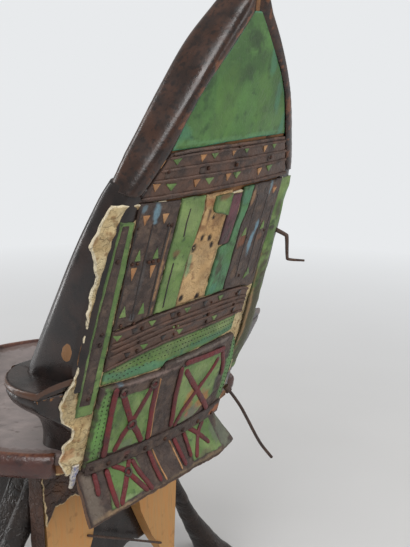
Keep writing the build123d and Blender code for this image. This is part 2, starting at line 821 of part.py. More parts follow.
# Lower rear face: each flat piece is its outline, cut out of a layer over the crowned face
flat_pieces = (
    ("rawhide_sheet", rawhide_shares, face_0, hide),
    ("left_border_strip", left_border_shares, face_1, face_2),
    ("brown_strip_left", brown_left_shares, face_1, face_2),
    ("green_pair_strip", green_pair_shares, face_1, face_2),
    ("bare_strip", bare_shares, face_1, face_1 + thin_leather),
    ("purple_strip", purple_shares, face_1, face_2),
    ("teal_strip", teal_shares, face_1, face_2),
    ("brown_strip_right", brown_right_shares, face_1, face_2),
    ("lower_band", lower_band_shares, face_1, band_face),
    ("green_strip", green_strip_shares, face_1, face_2),
    ("x_panel", x_panel_shares, face_1, x_face),
    ("riveted_strip", rivet_strip_shares, x_face + layer_gap, rivet_face),
)
for piece_name, outline_shares, low, high in flat_pieces:
    layer_space = crown_layer(panel, low, high)
    with BuildPart() as flat_piece:
        with BuildSketch(panel):
            with BuildLine():
                Polyline(*spread(outline_shares, panel_half, panel_drop), close=True)
            make_face()
        extrude(amount=cut_reach, both=True)
        add(layer_space, mode=Mode.INTERSECT)
    flat_piece.part.label = piece_name
    export_step(flat_piece.part, f"parts/{piece_name}.step")

# Right border strip, torn loose and standing off the edge of the panel
edge_plane = Plane(origin=panel.origin, x_dir=panel.y_dir, z_dir=(-1, 0, 0))
loose_line = [
    (panel_drop * v_share, -cut_reach * out_share) for v_share, out_share in loose_strip_shares
]
with BuildPart() as right_border_strip:
    with BuildSketch(edge_plane.offset(panel_half * loose_inner_share)):
        with BuildLine():
            outer_line = Spline(*loose_line)
            inner_line = Spline(*[(v, y + strip_thickness) for v, y in loose_line])
            Line(outer_line @ 0, inner_line @ 0)
            Line(outer_line @ 1, inner_line @ 1)
        make_face()
    extrude(amount=panel_half * (loose_outer_share - loose_inner_share))
right_border_strip.part.label = "right_border_strip"
export_step(right_border_strip.part, "parts/right_border_strip.step")

# Square panel and flap: green fields under red straps laid as framed crosses
x_field_space = crown_layer(panel, x_face + layer_gap, x_field_face)
x_strap_space = crown_layer(panel, x_field_face + layer_gap, x_strap_face)
flap_field_face = leather + field_thickness
flap_strap_face = flap_field_face + strap_thickness
flap_field_space = crown_layer(flap_head, leather + layer_gap, flap_field_face)
flap_strap_space = crown_layer(flap_head, flap_field_face + layer_gap, flap_strap_face)


def crosses(frame, places, slab):
    """Framed crosses of strap, one in each upright rectangle, as solids in a crowned layer."""
    found = []
    for left, right, top, foot in places:
        half_strap = strap_width / 2
        with BuildPart() as cross:
            with BuildSketch(frame):
                with BuildLine():
                    Polyline((left, top), (right, top), (right, foot), (left, foot), close=True)
                make_face()
                with BuildLine():
                    Polyline(
                        (left - strap_width, top + strap_width),
                        (right + strap_width, top + strap_width),
                        (right + strap_width, foot - half_strap),
                        (left - strap_width, foot - half_strap),
                        close=True,
                    )
                make_face(mode=Mode.SUBTRACT)
                for start, end in (((left, top), (right, foot)), ((right, top), (left, foot))):
                    with BuildLine():
                        Polyline(
                            (start[0] - half_strap, start[1]),
                            (start[0] + half_strap, start[1]),
                            (end[0] + half_strap, end[1]),
                            (end[0] - half_strap, end[1]),
                            close=True,
                        )
                    make_face()
                with BuildLine():
                    Polyline((left, top), (right, top), (right, foot), (left, foot), close=True)
                make_face(mode=Mode.INTERSECT)
            extrude(amount=cut_reach, both=True)
            add(slab, mode=Mode.INTERSECT)
        found.append(cross.part)
    return found


def field_blocks(frame, places, slab):
    """Plain fields of leather under the crosses, as solids in a crowned layer."""
    found = []
    for left, right, top, foot in places:
        with BuildPart() as block:
            with BuildSketch(frame):
                with Locations(((left + right) / 2, (top + foot) / 2)):
                    Rectangle(left - right, foot - top)
            extrude(amount=cut_reach, both=True)
            add(slab, mode=Mode.INTERSECT)
        found.append(block.part)
    return found


x_places = [
    (panel_half * left, panel_half * right, panel_drop * top, panel_drop * foot)
    for left, right, top, foot in x_field_shares
]
flap_places = [
    (panel_half * left, panel_half * right, flap_length * top, flap_length * foot)
    for left, right, top, foot in flap_field_shares
]
with BuildPart() as green_fields:
    add(field_blocks(panel, x_places, x_field_space))
    add(field_blocks(flap_plane, flap_places, flap_field_space))
green_fields.part.label = "green_fields"
export_step(green_fields.part, "parts/green_fields.step")

with BuildPart() as red_straps:
    add(crosses(panel, x_places, x_strap_space))
    add(crosses(flap_plane, flap_places, flap_strap_space))
red_straps.part.label = "red_straps"
export_step(red_straps.part, "parts/red_straps.step")

# Rivets through the strip at the foot of the square panel
rivet_space = crown_layer(panel, rivet_face + layer_gap, rivet_face + strap_thickness)
with BuildPart() as strip_rivets:
    with BuildSketch(panel):
        with Locations((panel_half * rivet_shift_share, panel_drop * rivet_line_share)):
            with GridLocations(panel_width * rivet_pitch_share, rivet_radius, rivet_count, 1):
                Circle(rivet_radius)
    extrude(amount=cut_reach, both=True)
    add(rivet_space, mode=Mode.INTERSECT)
strip_rivets.part.label = "strip_rivets"
export_step(strip_rivets.part, "parts/strip_rivets.step")

# Stiff hide flap below, kicked out rearward, with its leather facing and straps
flap_edge = [
    (panel_half * flap_half_share, -flap_tuck),
    (panel_half * flap_half_share, flap_length),
    (-panel_half * flap_half_share, flap_short_length),
    (-panel_half * flap_short_share, 0),
    (-panel_half * flap_tuck_share, -flap_tuck),
]
for piece_name, low, high in (
    ("flap_board", -flap_board_thickness, 0),
    ("flap_facing", layer_gap, leather),
):
    layer_space = crown_layer(flap_head, low, high)
    with BuildPart() as flap_piece:
        with BuildSketch(flap_plane):
            with BuildLine():
                Polyline(*flap_edge, close=True)
            make_face()
        extrude(amount=cut_reach, both=True)
        add(layer_space, mode=Mode.INTERSECT)
        split(bisect_by=across(panel, panel_drop * flap_top_share), keep=Keep.TOP)
    flap_piece.part.label = piece_name
    export_step(flap_piece.part, f"parts/{piece_name}.step")

# Bent leather tab that stands out from the edge, on an upright plane turned rearward
thong_out = Vector(-thong_turn_share, math.sqrt(1 - thong_turn_share**2), 0)
tab_plane = Plane(origin=tab_root, x_dir=thong_out, z_dir=thong_out.cross(Vector(0, 0, 1)))
with BuildPart() as bent_thong:
    with BuildSketch(tab_plane):
        with BuildLine():
            Polyline(*tab_points, *[(x + tab_width, z + tab_lift) for x, z in reversed(tab_points)], close=True)
        make_face()
    extrude(amount=thin_leather)
bent_thong.part.label = "bent_thong"
export_step(bent_thong.part, "parts/bent_thong.step")

# Long stiff thong that leaves a knot beside the square panel and falls outward
knot_back = Vector(*thong_points[0]) - Vector(*thong_points[1])
with BuildPart() as thong_knot:
    with BuildSketch(Plane(origin=thong_points[0], z_dir=knot_back)):
        Circle(knot_radius)
    extrude(amount=2 * knot_radius)
thong_knot.part.label = "thong_knot"
export_step(thong_knot.part, "parts/thong_knot.step")

thong_radii = []
for before, here, after in zip(thong_points, thong_points[1:], thong_points[2:]):
    first_run = Vector(*here) - Vector(*before)
    second_run = Vector(*after) - Vector(*here)
    half_turn = math.radians(first_run.get_angle(second_run)) / 2
    thong_radii.append(arc_share * min(first_run.length, second_run.length) / math.tan(half_turn))
print("thong radii", [round(radius) for radius in thong_radii])
with BuildPart() as long_thong:
    with BuildLine() as thong_path:
        FilletPolyline(*thong_points, radius=thong_radii)
    with BuildSketch(Plane(origin=thong_points[0], z_dir=thong_path.line % 0)):
        Circle(thong_thickness / 2)
    sweep(path=thong_path.line)
long_thong.part.label = "long_thong"
export_step(long_thong.part, "parts/long_thong.step")
thong_section = math.pi * (thong_thickness / 2) ** 2
thong_length = sum(edge.length for edge in thong_path.line.edges())
thong_fill = long_thong.part.volume / (thong_section * thong_length)
print("thong length", round(thong_length), "volume over section times length", round(thong_fill, 4))
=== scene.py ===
import logging
import math
from collections.abc import Sequence
from dataclasses import dataclass, field
from enum import Enum

import bpy
import numpy as np
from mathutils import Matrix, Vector


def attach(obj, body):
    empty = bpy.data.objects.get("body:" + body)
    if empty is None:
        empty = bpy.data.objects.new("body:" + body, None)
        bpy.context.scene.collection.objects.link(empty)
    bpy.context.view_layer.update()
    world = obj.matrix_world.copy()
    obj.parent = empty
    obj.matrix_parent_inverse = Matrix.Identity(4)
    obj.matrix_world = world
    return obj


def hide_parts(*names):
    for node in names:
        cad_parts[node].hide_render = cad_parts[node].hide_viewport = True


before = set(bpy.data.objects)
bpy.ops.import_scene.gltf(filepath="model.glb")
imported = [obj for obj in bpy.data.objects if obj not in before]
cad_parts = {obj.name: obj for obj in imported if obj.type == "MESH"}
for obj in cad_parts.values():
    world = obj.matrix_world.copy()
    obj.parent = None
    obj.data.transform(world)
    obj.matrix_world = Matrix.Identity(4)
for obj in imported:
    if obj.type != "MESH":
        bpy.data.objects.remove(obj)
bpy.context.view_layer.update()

MM = 0.001
BODY = "root"
log = logging.getLogger("saddle")

Colour = tuple[float, float, float, float]
Table = Sequence[tuple[float, float]]


def paint(red: float, green: float, blue: float) -> Colour:
    """Scene colour for a colour as it looks on a screen.

    Args:
        red: red from 0 to 255.
        green: green from 0 to 255.
        blue: blue from 0 to 255.

    Returns:
        The linear colour with full alpha.
    """
    shares = [value / 255 for value in (red, green, blue)]
    linear = [s / 12.92 if s <= 0.04045 else ((s + 0.055) / 1.055) ** 2.4 for s in shares]
    return (linear[0], linear[1], linear[2], 1.0)


def lattice(cells: np.ndarray, seed: int) -> np.ndarray:
    """Fixed value from -1 to 1 for each whole-numbered cell.

    Args:
        cells: whole numbers, three in the last axis.
        seed: which set of values.

    Returns:
        One value for each cell.
    """
    mixed = cells[..., 0] * 374761393 + cells[..., 1] * 668265263 + cells[..., 2] * 1440662683
    mixed = mixed + seed * 265443576
    mixed = (mixed ^ (mixed >> 13)) * 1274126177
    mixed = (mixed ^ (mixed >> 16)) & 0xFFFF
    return mixed / 32767.5 - 1.0


def ripple(points: np.ndarray, size: float, seed: int = 0, octaves: int = 2) -> np.ndarray:
    """Smooth unevenness of handmade leather, the same on every run.

    Args:
        points: places, two or three numbers in the last axis.
        size: how far apart the rises are, in the unit of the places.
        seed: which pattern.
        octaves: how many finer layers are added.

    Returns:
        A value of about -1 to 1 for each place.
    """
    if points.shape[-1] == 2:
        points = np.concatenate([points, np.zeros(points.shape[:-1] + (1,))], axis=-1)
    total = np.zeros(points.shape[:-1])
    weight = 1.0
    whole = 0.0
    for octave in range(octaves):
        scaled = points / size * 2**octave
        base = np.floor(scaled).astype(np.int64)
        part = scaled - base
        part = part * part * (3 - 2 * part)
        value = np.zeros(points.shape[:-1])
        for corner in range(8):
            step = np.array([corner & 1, (corner >> 1) & 1, (corner >> 2) & 1])
            share = np.prod(np.where(step == 1, part, 1 - part), axis=-1)
            value += share * lattice(base + step, seed + 31 * octave)
        total += weight * value
        whole += weight
        weight *= 0.5
    return total / whole


def even_points(line: np.ndarray, count: int) -> np.ndarray:
    """Points at equal distances along a line of straight runs.

    Args:
        line: the corners of the line.
        count: how many points come back, both ends included.

    Returns:
        The points.
    """
    travelled = np.concatenate([[0], np.cumsum(np.linalg.norm(np.diff(line, axis=0), axis=1))])
    wanted = np.linspace(0, travelled[-1], count)
    return np.stack([np.interp(wanted, travelled, line[:, axis]) for axis in range(line.shape[1])], -1)


def smooth_line(points: Sequence[Sequence[float]], count: int, closed: bool = False) -> np.ndarray:
    """Points along a smooth curve that passes through the given ones.

    Args:
        points: the points that it passes through.
        count: how many points come back.
        closed: whether the curve returns to its start.

    Returns:
        The points, evenly spaced by length.
    """
    knots = np.array(points, float)
    if closed:
        knots = np.vstack([knots[-1], knots, knots[0], knots[1]])
    else:
        knots = np.vstack([2 * knots[0] - knots[1], knots, 2 * knots[-1] - knots[-2]])
    share = np.linspace(0, 1, 12, endpoint=False)[:, None]
    runs = []
    for before, start, end, after in zip(knots, knots[1:], knots[2:], knots[3:]):
        runs.append(
            0.5
            * (
                2 * start
                + (end - before) * share
                + (2 * before - 5 * start + 4 * end - after) * share**2
                + (3 * start - 3 * end + after - before) * share**3
            )
        )
    if not closed:
        runs.append(knots[-2][None])
    line = np.vstack(runs)
    if closed:
        line = np.vstack([line, line[0]])
    return even_points(line, count + 1)[:-1] if closed else even_points(line, count)


def read_table(table: Table | float, places: np.ndarray) -> np.ndarray:
    """Value of a table of (place, value) pairs at some places.

    Args:
        table: the pairs, or one number that holds everywhere.
        places: where it is read.

    Returns:
        A value for each place.
    """
    if isinstance(table, (int, float)):
        return np.full(np.shape(places), float(table))
    pairs = np.array(sorted(table), float)
    return np.interp(places, pairs[:, 0], pairs[:, 1])


def new_object(name: str, data: bpy.types.ID) -> bpy.types.Object:
    """Object in the scene, at the origin.

    Args:
        name: name of the object.
        data: its mesh, curve, lamp or camera.

    Returns:
        The object.
    """
    obj = bpy.data.objects.new(name, data)
    bpy.context.scene.collection.objects.link(obj)
    return obj


def keep_result(obj: bpy.types.Object, name: str) -> bpy.types.Mesh:
    """Gives an object the plain mesh that its modifiers make, and removes them.

    Args:
        obj: the object.
        name: name of the mesh.

    Returns:
        The mesh.
    """
    bpy.context.view_layer.update()
    mesh = bpy.data.meshes.new_from_object(obj.evaluated_get(bpy.context.evaluated_depsgraph_get()))
    obj.modifiers.clear()
    obj.data = mesh
    mesh.name = name
    return mesh


def new_piece(
    name: str,
    points: np.ndarray,
    faces: Sequence[Sequence[int]],
    material: bpy.types.Material,
    **attributes: np.ndarray,
) -> bpy.types.Object:
    """Mesh object from points in millimetres, its faces turned outwards.

    Args:
        name: name of the piece.
        points: one row of x, y and z for each point.
        faces: point numbers of each face.
        material: its finish.
        attributes: a value or a colour for each point, by attribute name.

    Returns:
        The object, at the origin.
    """
    corners = np.array([(*f[:3], f[-1]) for f in faces])
    a, b, c, d = (points[corners[:, i]] for i in range(4))
    volume = np.einsum("ij,ij->i", a, np.cross(b, c)).sum() + np.einsum("ij,ij->i", a, np.cross(c, d)).sum()
    turned = [tuple(reversed(f)) for f in faces] if volume < 0 else faces
    mesh = bpy.data.meshes.new(name)
    mesh.from_pydata((points * MM).tolist(), [], [tuple(int(i) for i in f) for f in turned])
    mesh.shade_smooth()
    mesh.materials.append(material)
    for label, values in attributes.items():
        if values.ndim == 1:
            mesh.attributes.new(label, "FLOAT", "POINT").data.foreach_set("value", values.astype(np.float32))
        else:
            shades = mesh.attributes.new(label, "FLOAT_COLOR", "POINT")
            shades.data.foreach_set("color", values.astype(np.float32).ravel())
            share = mesh.attributes.new(f"{label}_share", "FLOAT", "POINT")
            share.data.foreach_set("value", values[:, 3].astype(np.float32))
    mesh.update()
    return new_object(name, mesh)


def settle(obj: bpy.types.Object, slot: str, *nodes: str) -> bpy.types.Object:
    """Puts a finished piece on the saddle's body in place of its CAD nodes.

    Args:
        obj: the piece.
        slot: name of a material slot; not used.
        nodes: the CAD nodes it stands for.

    Returns:
        The piece.
    """
    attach(obj, BODY)
    if nodes:
        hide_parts(*nodes)
    log.info("%s: %d faces, for %s", obj.name, len(getattr(obj.data, "polygons", [])), ", ".join(nodes) or "detail")
    return obj


def grid_faces(rows: int, columns: int, start: int = 0, closed: bool = False) -> list[tuple[int, ...]]:
    """Faces between rows of points.

    Args:
        rows: how many rows.
        columns: points in each row.
        start: number of the first point.
        closed: whether each row returns to its start.

    Returns:
        The four-cornered faces.
    """
    faces = []
    for row in range(rows - 1):
        for column in range(columns if closed else columns - 1):
            here = start + row * columns + column
            beside = start + row * columns + (column + 1) % columns
            faces.append((here, beside, beside + columns, here + columns))
    return faces


def loft_piece(
    name: str, loops: np.ndarray, material: bpy.types.Material, **attributes: np.ndarray
) -> bpy.types.Object:
    """Closed body through loops of points, with a fan at each end.

    Args:
        name: name of the piece.
        loops: loops of the same number of points, in order.
        material: its finish.
        attributes: a value for each point of each loop.

    Returns:
        The object.
    """
    rows, columns = loops.shape[:2]
    points = np.vstack([loops.reshape(-1, 3), loops[0].mean(0), loops[-1].mean(0)])
    faces = grid_faces(rows, columns, closed=True)
    first, last = rows * columns, rows * columns + 1
    for column in range(columns):
        beside = (column + 1) % columns
        faces.append((beside, column, first))
        faces.append(((rows - 1) * columns + column, (rows - 1) * columns + beside, last))
    full = {}
    for label, values in attributes.items():
        flat = values.reshape((rows * columns,) + values.shape[2:])
        ends = np.stack([values[0].mean(0), values[-1].mean(0)])
        full[label] = np.concatenate([flat, ends])
    return new_piece(name, points, faces, material, **full)


@dataclass(frozen=True)
class CrownedFace:
    """A rear face that bulges across its width and may bend forward above its start line.

    Places on it are x across, v down from the start line and out, the distance off the face.
    """

    origin: tuple[float, float, float] = (0.0, 240.0, 588.0)
    tilt: float = -17.0
    crown_radius: float = 657.04
    crown_rise: float = 12.0
    bend_radius: float | None = 957.0

    @property
    def outward(self) -> np.ndarray:
        """Direction off the face at its start line."""
        angle = math.radians(self.tilt)
        return np.array([0.0, math.cos(angle), math.sin(angle)])

    @property
    def down(self) -> np.ndarray:
        """Direction down the face at its start line."""
        angle = math.radians(self.tilt)
        return np.array([0.0, math.sin(angle), -math.cos(angle)])

    def depth(self, x: np.ndarray | float, out: np.ndarray | float) -> np.ndarray | float:
        """How far forward of the flat start plane a place lies.

        Args:
            x: distance across.
            out: distance off the face.

        Returns:
            The depth, below zero where the place is rearward of the plane.
        """
        reach = np.minimum(np.abs(x), 0.9 * self.crown_radius)
        return self.crown_radius - self.crown_rise - np.sqrt((self.crown_radius + out) ** 2 - reach**2)

    def place(self, x: np.ndarray, v: np.ndarray, forward: np.ndarray) -> np.ndarray:
        """Points for places given by their distance forward of the flat or bent start plane.

        Args:
            x: distance across.
            v: distance down from the start line.
            forward: distance forward of the plane.

        Returns:
            One row of x, y and z for each place.
        """
        x, v, forward = np.broadcast_arrays(np.asarray(x, float), np.asarray(v, float), np.asarray(forward, float))
        origin = np.array(self.origin)
        if self.bend_radius is None:
            turn = np.zeros_like(v)
            straight = v
            radius = 0.0
        else:
            turn = np.where(v < 0, -v / self.bend_radius, 0.0)
            straight = np.where(v < 0, 0.0, v)
            radius = self.bend_radius
        normal = self.outward * np.cos(turn)[..., None] - self.down * np.sin(turn)[..., None]
        points = origin + self.down * straight[..., None]
        points = points - self.outward * (radius * (1 - np.cos(turn)))[..., None]
        points = points - self.down * (radius * np.sin(turn))[..., None] - normal * forward[..., None]
        points[..., 0] = points[..., 0] + x
        return points

    def points(self, x: np.ndarray, v: np.ndarray, out: np.ndarray) -> np.ndarray:
        """Points at a distance off the crowned face.

        Args:
            x: distance across.
            v: distance down from the start line.
            out: distance off the face.

        Returns:
            One row of x, y and z for each place.
        """
        return self.place(x, v, self.depth(np.asarray(x, float), np.asarray(out, float)))

    def hold_in_front(self, points: np.ndarray, out: float = 0.0) -> np.ndarray:
        """Moves points that stand off the face further than allowed back to that distance.

        Args:
            points: rows of x, y and z at or below the start line.
            out: the distance allowed.

        Returns:
            The points, moved where they had to be.
        """
        rearward = (points - np.array(self.origin)) @ self.outward
        excess = np.maximum(rearward + self.depth(points[..., 0], np.full(points.shape[:-1], out)), 0)
        return points - self.outward * excess[..., None]


REAR = CrownedFace()
FLAP = CrownedFace(
    origin=tuple(np.array(REAR.origin) + REAR.down * 312.3 + REAR.outward * 7.2),
    tilt=20.0,
    bend_radius=None,
)


@dataclass(frozen=True)
class Dab:
    """A stain, smear or worn place on a piece: its middle, half sizes, colour and strength."""

    x: float
    v: float
    half_width: float
    half_length: float
    colour: Colour
    strength: float = 0.9


def dab_tint(x: np.ndarray, v: np.ndarray, dabs: Sequence[Dab], seed: int) -> np.ndarray:
    """Colour and strength that a piece's dabs give at some places, with broken edges.

    Args:
        x: distance across.
        v: distance down.
        dabs: the dabs, later ones on top.
        seed: pattern of the broken edges.

    Returns:
        Red, green, blue and strength for each place.
    """
    tint = np.zeros(x.shape + (4,))
    places = np.stack([x, v], -1)
    broken = 0.45 * ripple(places, 5.0, seed) + 0.3 * ripple(places, 14.0, seed + 5)
    for dab in dabs:
        away = np.hypot((x - dab.x) / dab.half_width, (v - dab.v) / dab.half_length) + broken
        share = np.clip((1.15 - away) / 0.5, 0, 1) * dab.strength
        tint[..., :3] = tint[..., :3] * (1 - share[..., None]) + np.array(dab.colour[:3]) * share[..., None]
        tint[..., 3] = tint[..., 3] * (1 - share) + share
    tint[..., :3] = tint[..., :3] / np.maximum(tint[..., 3:], 1e-4)
    return tint


# How far in from a piece's edge it curls and is worn, how broad the curls are, and its least thickness
CURL_REACH = 7.0
CURL_SIZE = 22.0
WORN_REACH = 4.0
THINNEST = 0.25


@dataclass(frozen=True)
class Patch:
    """A flat piece of leather or hide on a rear face, ragged and rounded at its edges.

    left and right give x for a v, top and foot give v for an x; pits are holes in it.
    """

    name: str
    left: Table | float
    right: Table | float
    top: Table | float
    foot: Table | float
    low: float
    high: float
    face: CrownedFace = REAR
    ragged: float = 0.5
    ragged_size: float = 9.0
    lumps: float = 0.25
    lump_size: float = 14.0
    curl: float = 0.0
    round_off: float = 1.3
    step: float = 1.9
    dabs: tuple[Dab, ...] = ()
    pits: tuple[tuple[float, float, float], ...] = ()
    seed: int = 1

    def build(self, material: bpy.types.Material) -> bpy.types.Object:
        """Makes the piece.

        Args:
            material: its finish.

        Returns:
            The object.
        """
        x, v, inward = self._spread_out()
        places = np.stack([x, v], -1)
        profile = np.sqrt(1 - (1 - np.clip(inward / self.round_off, 0, 1)) ** 2)
        thick = (self.high - self.low) * (0.3 + 0.7 * profile)
        thick = thick + self.lumps * ripple(places, self.lump_size, self.seed + 1) * profile
        lift = np.clip(1 - inward / CURL_REACH, 0, 1) ** 2
        thick = thick + self.curl * lift * (0.6 + ripple(places, CURL_SIZE, self.seed + 2))
        tint = dab_tint(x, v, self.dabs, self.seed)
        for pit_x, pit_v, radius in self.pits:
            away = np.hypot(x - pit_x, (v - pit_v) / 1.3) / radius + 0.25 * ripple(places, 4.0, self.seed + 9)
            sunk = np.clip(1.3 - away, 0, 1)
            thick = thick * (1 - 0.75 * sunk)
            dark = np.clip(sunk * 2.2, 0, 1)
            tint[..., :3] = tint[..., :3] * (1 - dark[..., None]) + np.array(PIT[:3]) * dark[..., None]
            tint[..., 3] = np.maximum(tint[..., 3], dark)
        upper = self.face.points(x, v, self.low + np.maximum(thick, THINNEST))
        under = self.face.points(x, v, np.full_like(x, self.low))
        edge = np.clip(1 - inward / WORN_REACH, 0, 1)
        return shell_piece(self.name, upper, under, material, edge=edge, tint=tint)

    def _spread_out(self) -> tuple[np.ndarray, np.ndarray, np.ndarray]:
        """Places of the piece's points and how far in from its wavering edges they lie.

        Returns:
            x, v and the distance from the nearest edge, each a grid.
        """
        spread = [read_table(edge, np.linspace(-60, 320, 60)).mean() for edge in (self.left, self.right)]
        drop = [read_table(edge, np.linspace(spread[1], spread[0], 20)).mean() for edge in (self.top, self.foot)]
        across = self._stations(abs(spread[0] - spread[1]))
        along = self._stations(abs(drop[1] - drop[0]))
        s, t = np.meshgrid(across, along)
        x0 = spread[1] + (spread[0] - spread[1]) * s
        v = read_table(self.top, x0) * (1 - t) + read_table(self.foot, x0) * t
        for _ in range(2):
            right = read_table(self.right, v) + self._waver(v, 3)
            left = read_table(self.left, v) + self._waver(v, 7)
            x = right * (1 - s) + left * s
            top = read_table(self.top, x) + self._waver(x, 11)
            foot = read_table(self.foot, x) + self._waver(x, 17)
            v = top * (1 - t) + foot * t
        inward = np.minimum(np.minimum(x - right, left - x), np.minimum(v - top, foot - v))
        return x, v, np.maximum(inward, 0)

    def _stations(self, length: float) -> np.ndarray:
        """Shares along a side, closer together at both ends.

        Args:
            length: length of the side.

        Returns:
            The shares, from 0 to 1.
        """
        ends = np.array([0.0, 0.2, 0.55, 1.0]) * self.round_off
        count = max(2, int((length - 2 * self.round_off) / self.step))
        middle = np.linspace(self.round_off, length - self.round_off, count)
        return np.unique(np.concatenate([ends, middle, length - ends])) / length

    def _waver(self, along: np.ndarray, offset: int) -> np.ndarray:
        """How far an edge wanders from its line.

        Args:
            along: distances along the edge.
            offset: number that sets this edge apart from the others.

        Returns:
            The distance for each place.
        """
        places = np.stack([along, np.full_like(along, 50.0 * offset)], -1)
        return self.ragged * ripple(places, self.ragged_size, self.seed + offset, 3)


def shell_piece(
    name: str, upper: np.ndarray, under: np.ndarray, material: bpy.types.Material, **attributes: np.ndarray
) -> bpy.types.Object:
    """Closed thin body between an upper and an under grid of points.

    Args:
        name: name of the piece.
        upper: rows of points of the seen side.
        under: the same rows on the other side.
        material: its finish.
        attributes: a value for each point of the grid.

    Returns:
        The object.
    """
    rows, columns = upper.shape[:2]
    count = rows * columns
    faces = grid_faces(rows, columns)
    faces += [tuple(reversed(f)) for f in grid_faces(rows, columns, count)]
    rim = list(range(columns))
    rim += [row * columns + columns - 1 for row in range(1, rows)]
    rim += [(rows - 1) * columns + column for column in range(columns - 2, -1, -1)]
    rim += [row * columns for row in range(rows - 2, 0, -1)]
    for here, beside in zip(rim, rim[1:] + rim[:1]):
        faces.append((beside, here, here + count, beside + count))
    points = np.vstack([upper.reshape(-1, 3), under.reshape(-1, 3)])
    full = {
        label: np.concatenate([values.reshape((count,) + values.shape[2:])] * 2)
        for label, values in attributes.items()
    }
    return new_piece(name, points, faces, material, **full)


def merge_pieces(name: str, parts: Sequence[bpy.types.Object]) -> bpy.types.Object:
    """Joins objects into one mesh, keeping their finishes and attributes.

    Args:
        name: name of the joined piece.
        parts: the objects, which are used up.

    Returns:
        The joined object.
    """
    with bpy.context.temp_override(
        active_object=parts[0], selected_objects=list(parts), selected_editable_objects=list(parts)
    ):
        bpy.ops.object.join()
    parts[0].name = name
    parts[0].data.name = name
    return parts[0]


@dataclass(frozen=True)
class Tiles:
    """Small flat shapes let into a face: outlines of x and v pairs, all of one leather."""

    name: str
    outlines: tuple[tuple[tuple[float, float], ...], ...]
    low: float
    high: float
    face: CrownedFace = REAR
    inset: float = 0.5

    def build(self, material: bpy.types.Material) -> bpy.types.Object:
        """Makes the piece.

        Args:
            material: its finish.

        Returns:
            The object.
        """
        points = []
        faces = []
        for outline in self.outlines:
            flat = np.array(outline, float)
            middle = flat.mean(0)
            arms = flat - middle
            inner = middle + arms * (1 - self.inset / np.maximum(np.linalg.norm(arms, axis=1), 1))[:, None]
            rings = ((flat, self.low), (flat, self.high - 0.3), (inner, self.high))
            start = len(points)
            for ring, out in rings:
                points += self.face.points(ring[:, 0], ring[:, 1], np.full(len(ring), out)).tolist()
            count = len(flat)
            points += self.face.points(middle[:1], middle[1:], np.array([self.high + 0.15])).tolist()
            points += self.face.points(middle[:1], middle[1:], np.array([self.low])).tolist()
            spin = flat[:, 0] * np.roll(flat[:, 1], -1) - np.roll(flat[:, 0], -1) * flat[:, 1]
            found = grid_faces(3, count, start, closed=True)
            for column in range(count):
                beside = (column + 1) % count
                found.append((start + 2 * count + column, start + 2 * count + beside, start + 3 * count))
                found.append((start + beside, start + column, start + 3 * count + 1))
            faces += [tuple(reversed(f)) for f in found] if spin.sum() > 0 else found
        return new_piece(self.name, np.array(points), faces, material)


@dataclass(frozen=True)
class Strap:
    """A rounded strap or cord laid on a face along a line of x and v pairs."""

    line: tuple[tuple[float, float], ...]
    width: float
    height: float
    low: float
    face: CrownedFace = REAR
    smooth: bool = False
    waver: float = 0.35
    twist: float = 0.0
    seed: int = 1

    def build(self, name: str, material: bpy.types.Material) -> bpy.types.Object:
        """Makes the strap.

        Args:
            name: name of the piece.
            material: its finish.

        Returns:
            The object.
        """
        knots = np.array(self.line, float)
        length = np.linalg.norm(np.diff(knots, axis=0), axis=1).sum()
        count = max(4, int(length / 1.6))
        path = smooth_line(knots, count) if self.smooth else even_points(knots, count)
        ahead = np.gradient(path, axis=0)
        ahead = ahead / np.linalg.norm(ahead, axis=1)[:, None]
        aside = np.stack([-ahead[:, 1], ahead[:, 0]], -1)
        along = np.linspace(0, length, count)
        line_noise = np.stack([along, np.full(count, 7.0 * self.seed)], -1)
        sway = self.waver * ripple(line_noise, 16.0, self.seed)
        wide = self.width * (1 + 0.12 * ripple(line_noise, 8.0, self.seed + 4))
        tall = self.height * (1 + 0.2 * ripple(line_noise, 6.0, self.seed + 8))
        if self.twist:
            tall = tall * (1 + 0.22 * np.sin(along * 2 * math.pi / self.twist))
        taper = np.sqrt(np.clip(np.minimum(along, length - along) / (0.4 * self.width), 0.05, 1))
        turns = np.linspace(0, math.pi, 9)
        path = path + aside * sway[:, None]
        off = (wide * taper / 2)[:, None] * np.cos(turns)
        rise = (tall * taper)[:, None] * np.sin(turns)
        under_off = off[:, -2:1:-1] * 0.98
        upper, under = (
            self.face.points(path[:, :1] + aside[:, :1] * across, path[:, 1:] + aside[:, 1:] * across, out)
            for across, out in ((off, self.low + rise), (under_off, np.full(under_off.shape, self.low - 0.1)))
        )
        loops = np.concatenate([upper, under], axis=1)
        edge = np.concatenate([np.abs(np.cos(turns)) ** 4, np.ones(under_off.shape[1])])
        return loft_piece(name, loops, material, edge=np.tile(edge, (count, 1)))


def straps_piece(name: str, straps: Sequence[Strap], material: bpy.types.Material) -> bpy.types.Object:
    """Several straps of one leather as one piece.

    Args:
        name: name of the piece.
        straps: the straps.
        material: their finish.

    Returns:
        The joined object.
    """
    return merge_pieces(name, [strap.build(f"{name}_{i}", material) for i, strap in enumerate(straps)])


# Colours of the leathers, hide, wood and iron
PIT = paint(38, 28, 24)
GREEN = paint(92, 122, 62)
GREEN_PALE = paint(130, 152, 92)
GREEN_DARK = paint(46, 66, 40)
TEAL = paint(72, 132, 106)
BLUE = paint(116, 150, 166)
BROWN = paint(70, 55, 49)
BROWN_DARK = paint(50, 38, 34)
TAN = paint(186, 142, 98)
ORANGE = paint(176, 100, 52)
RED = paint(108, 27, 31)
PURPLE = paint(96, 52, 62)
CREAM = paint(212, 194, 152)
GREY_GREEN = paint(112, 118, 100)


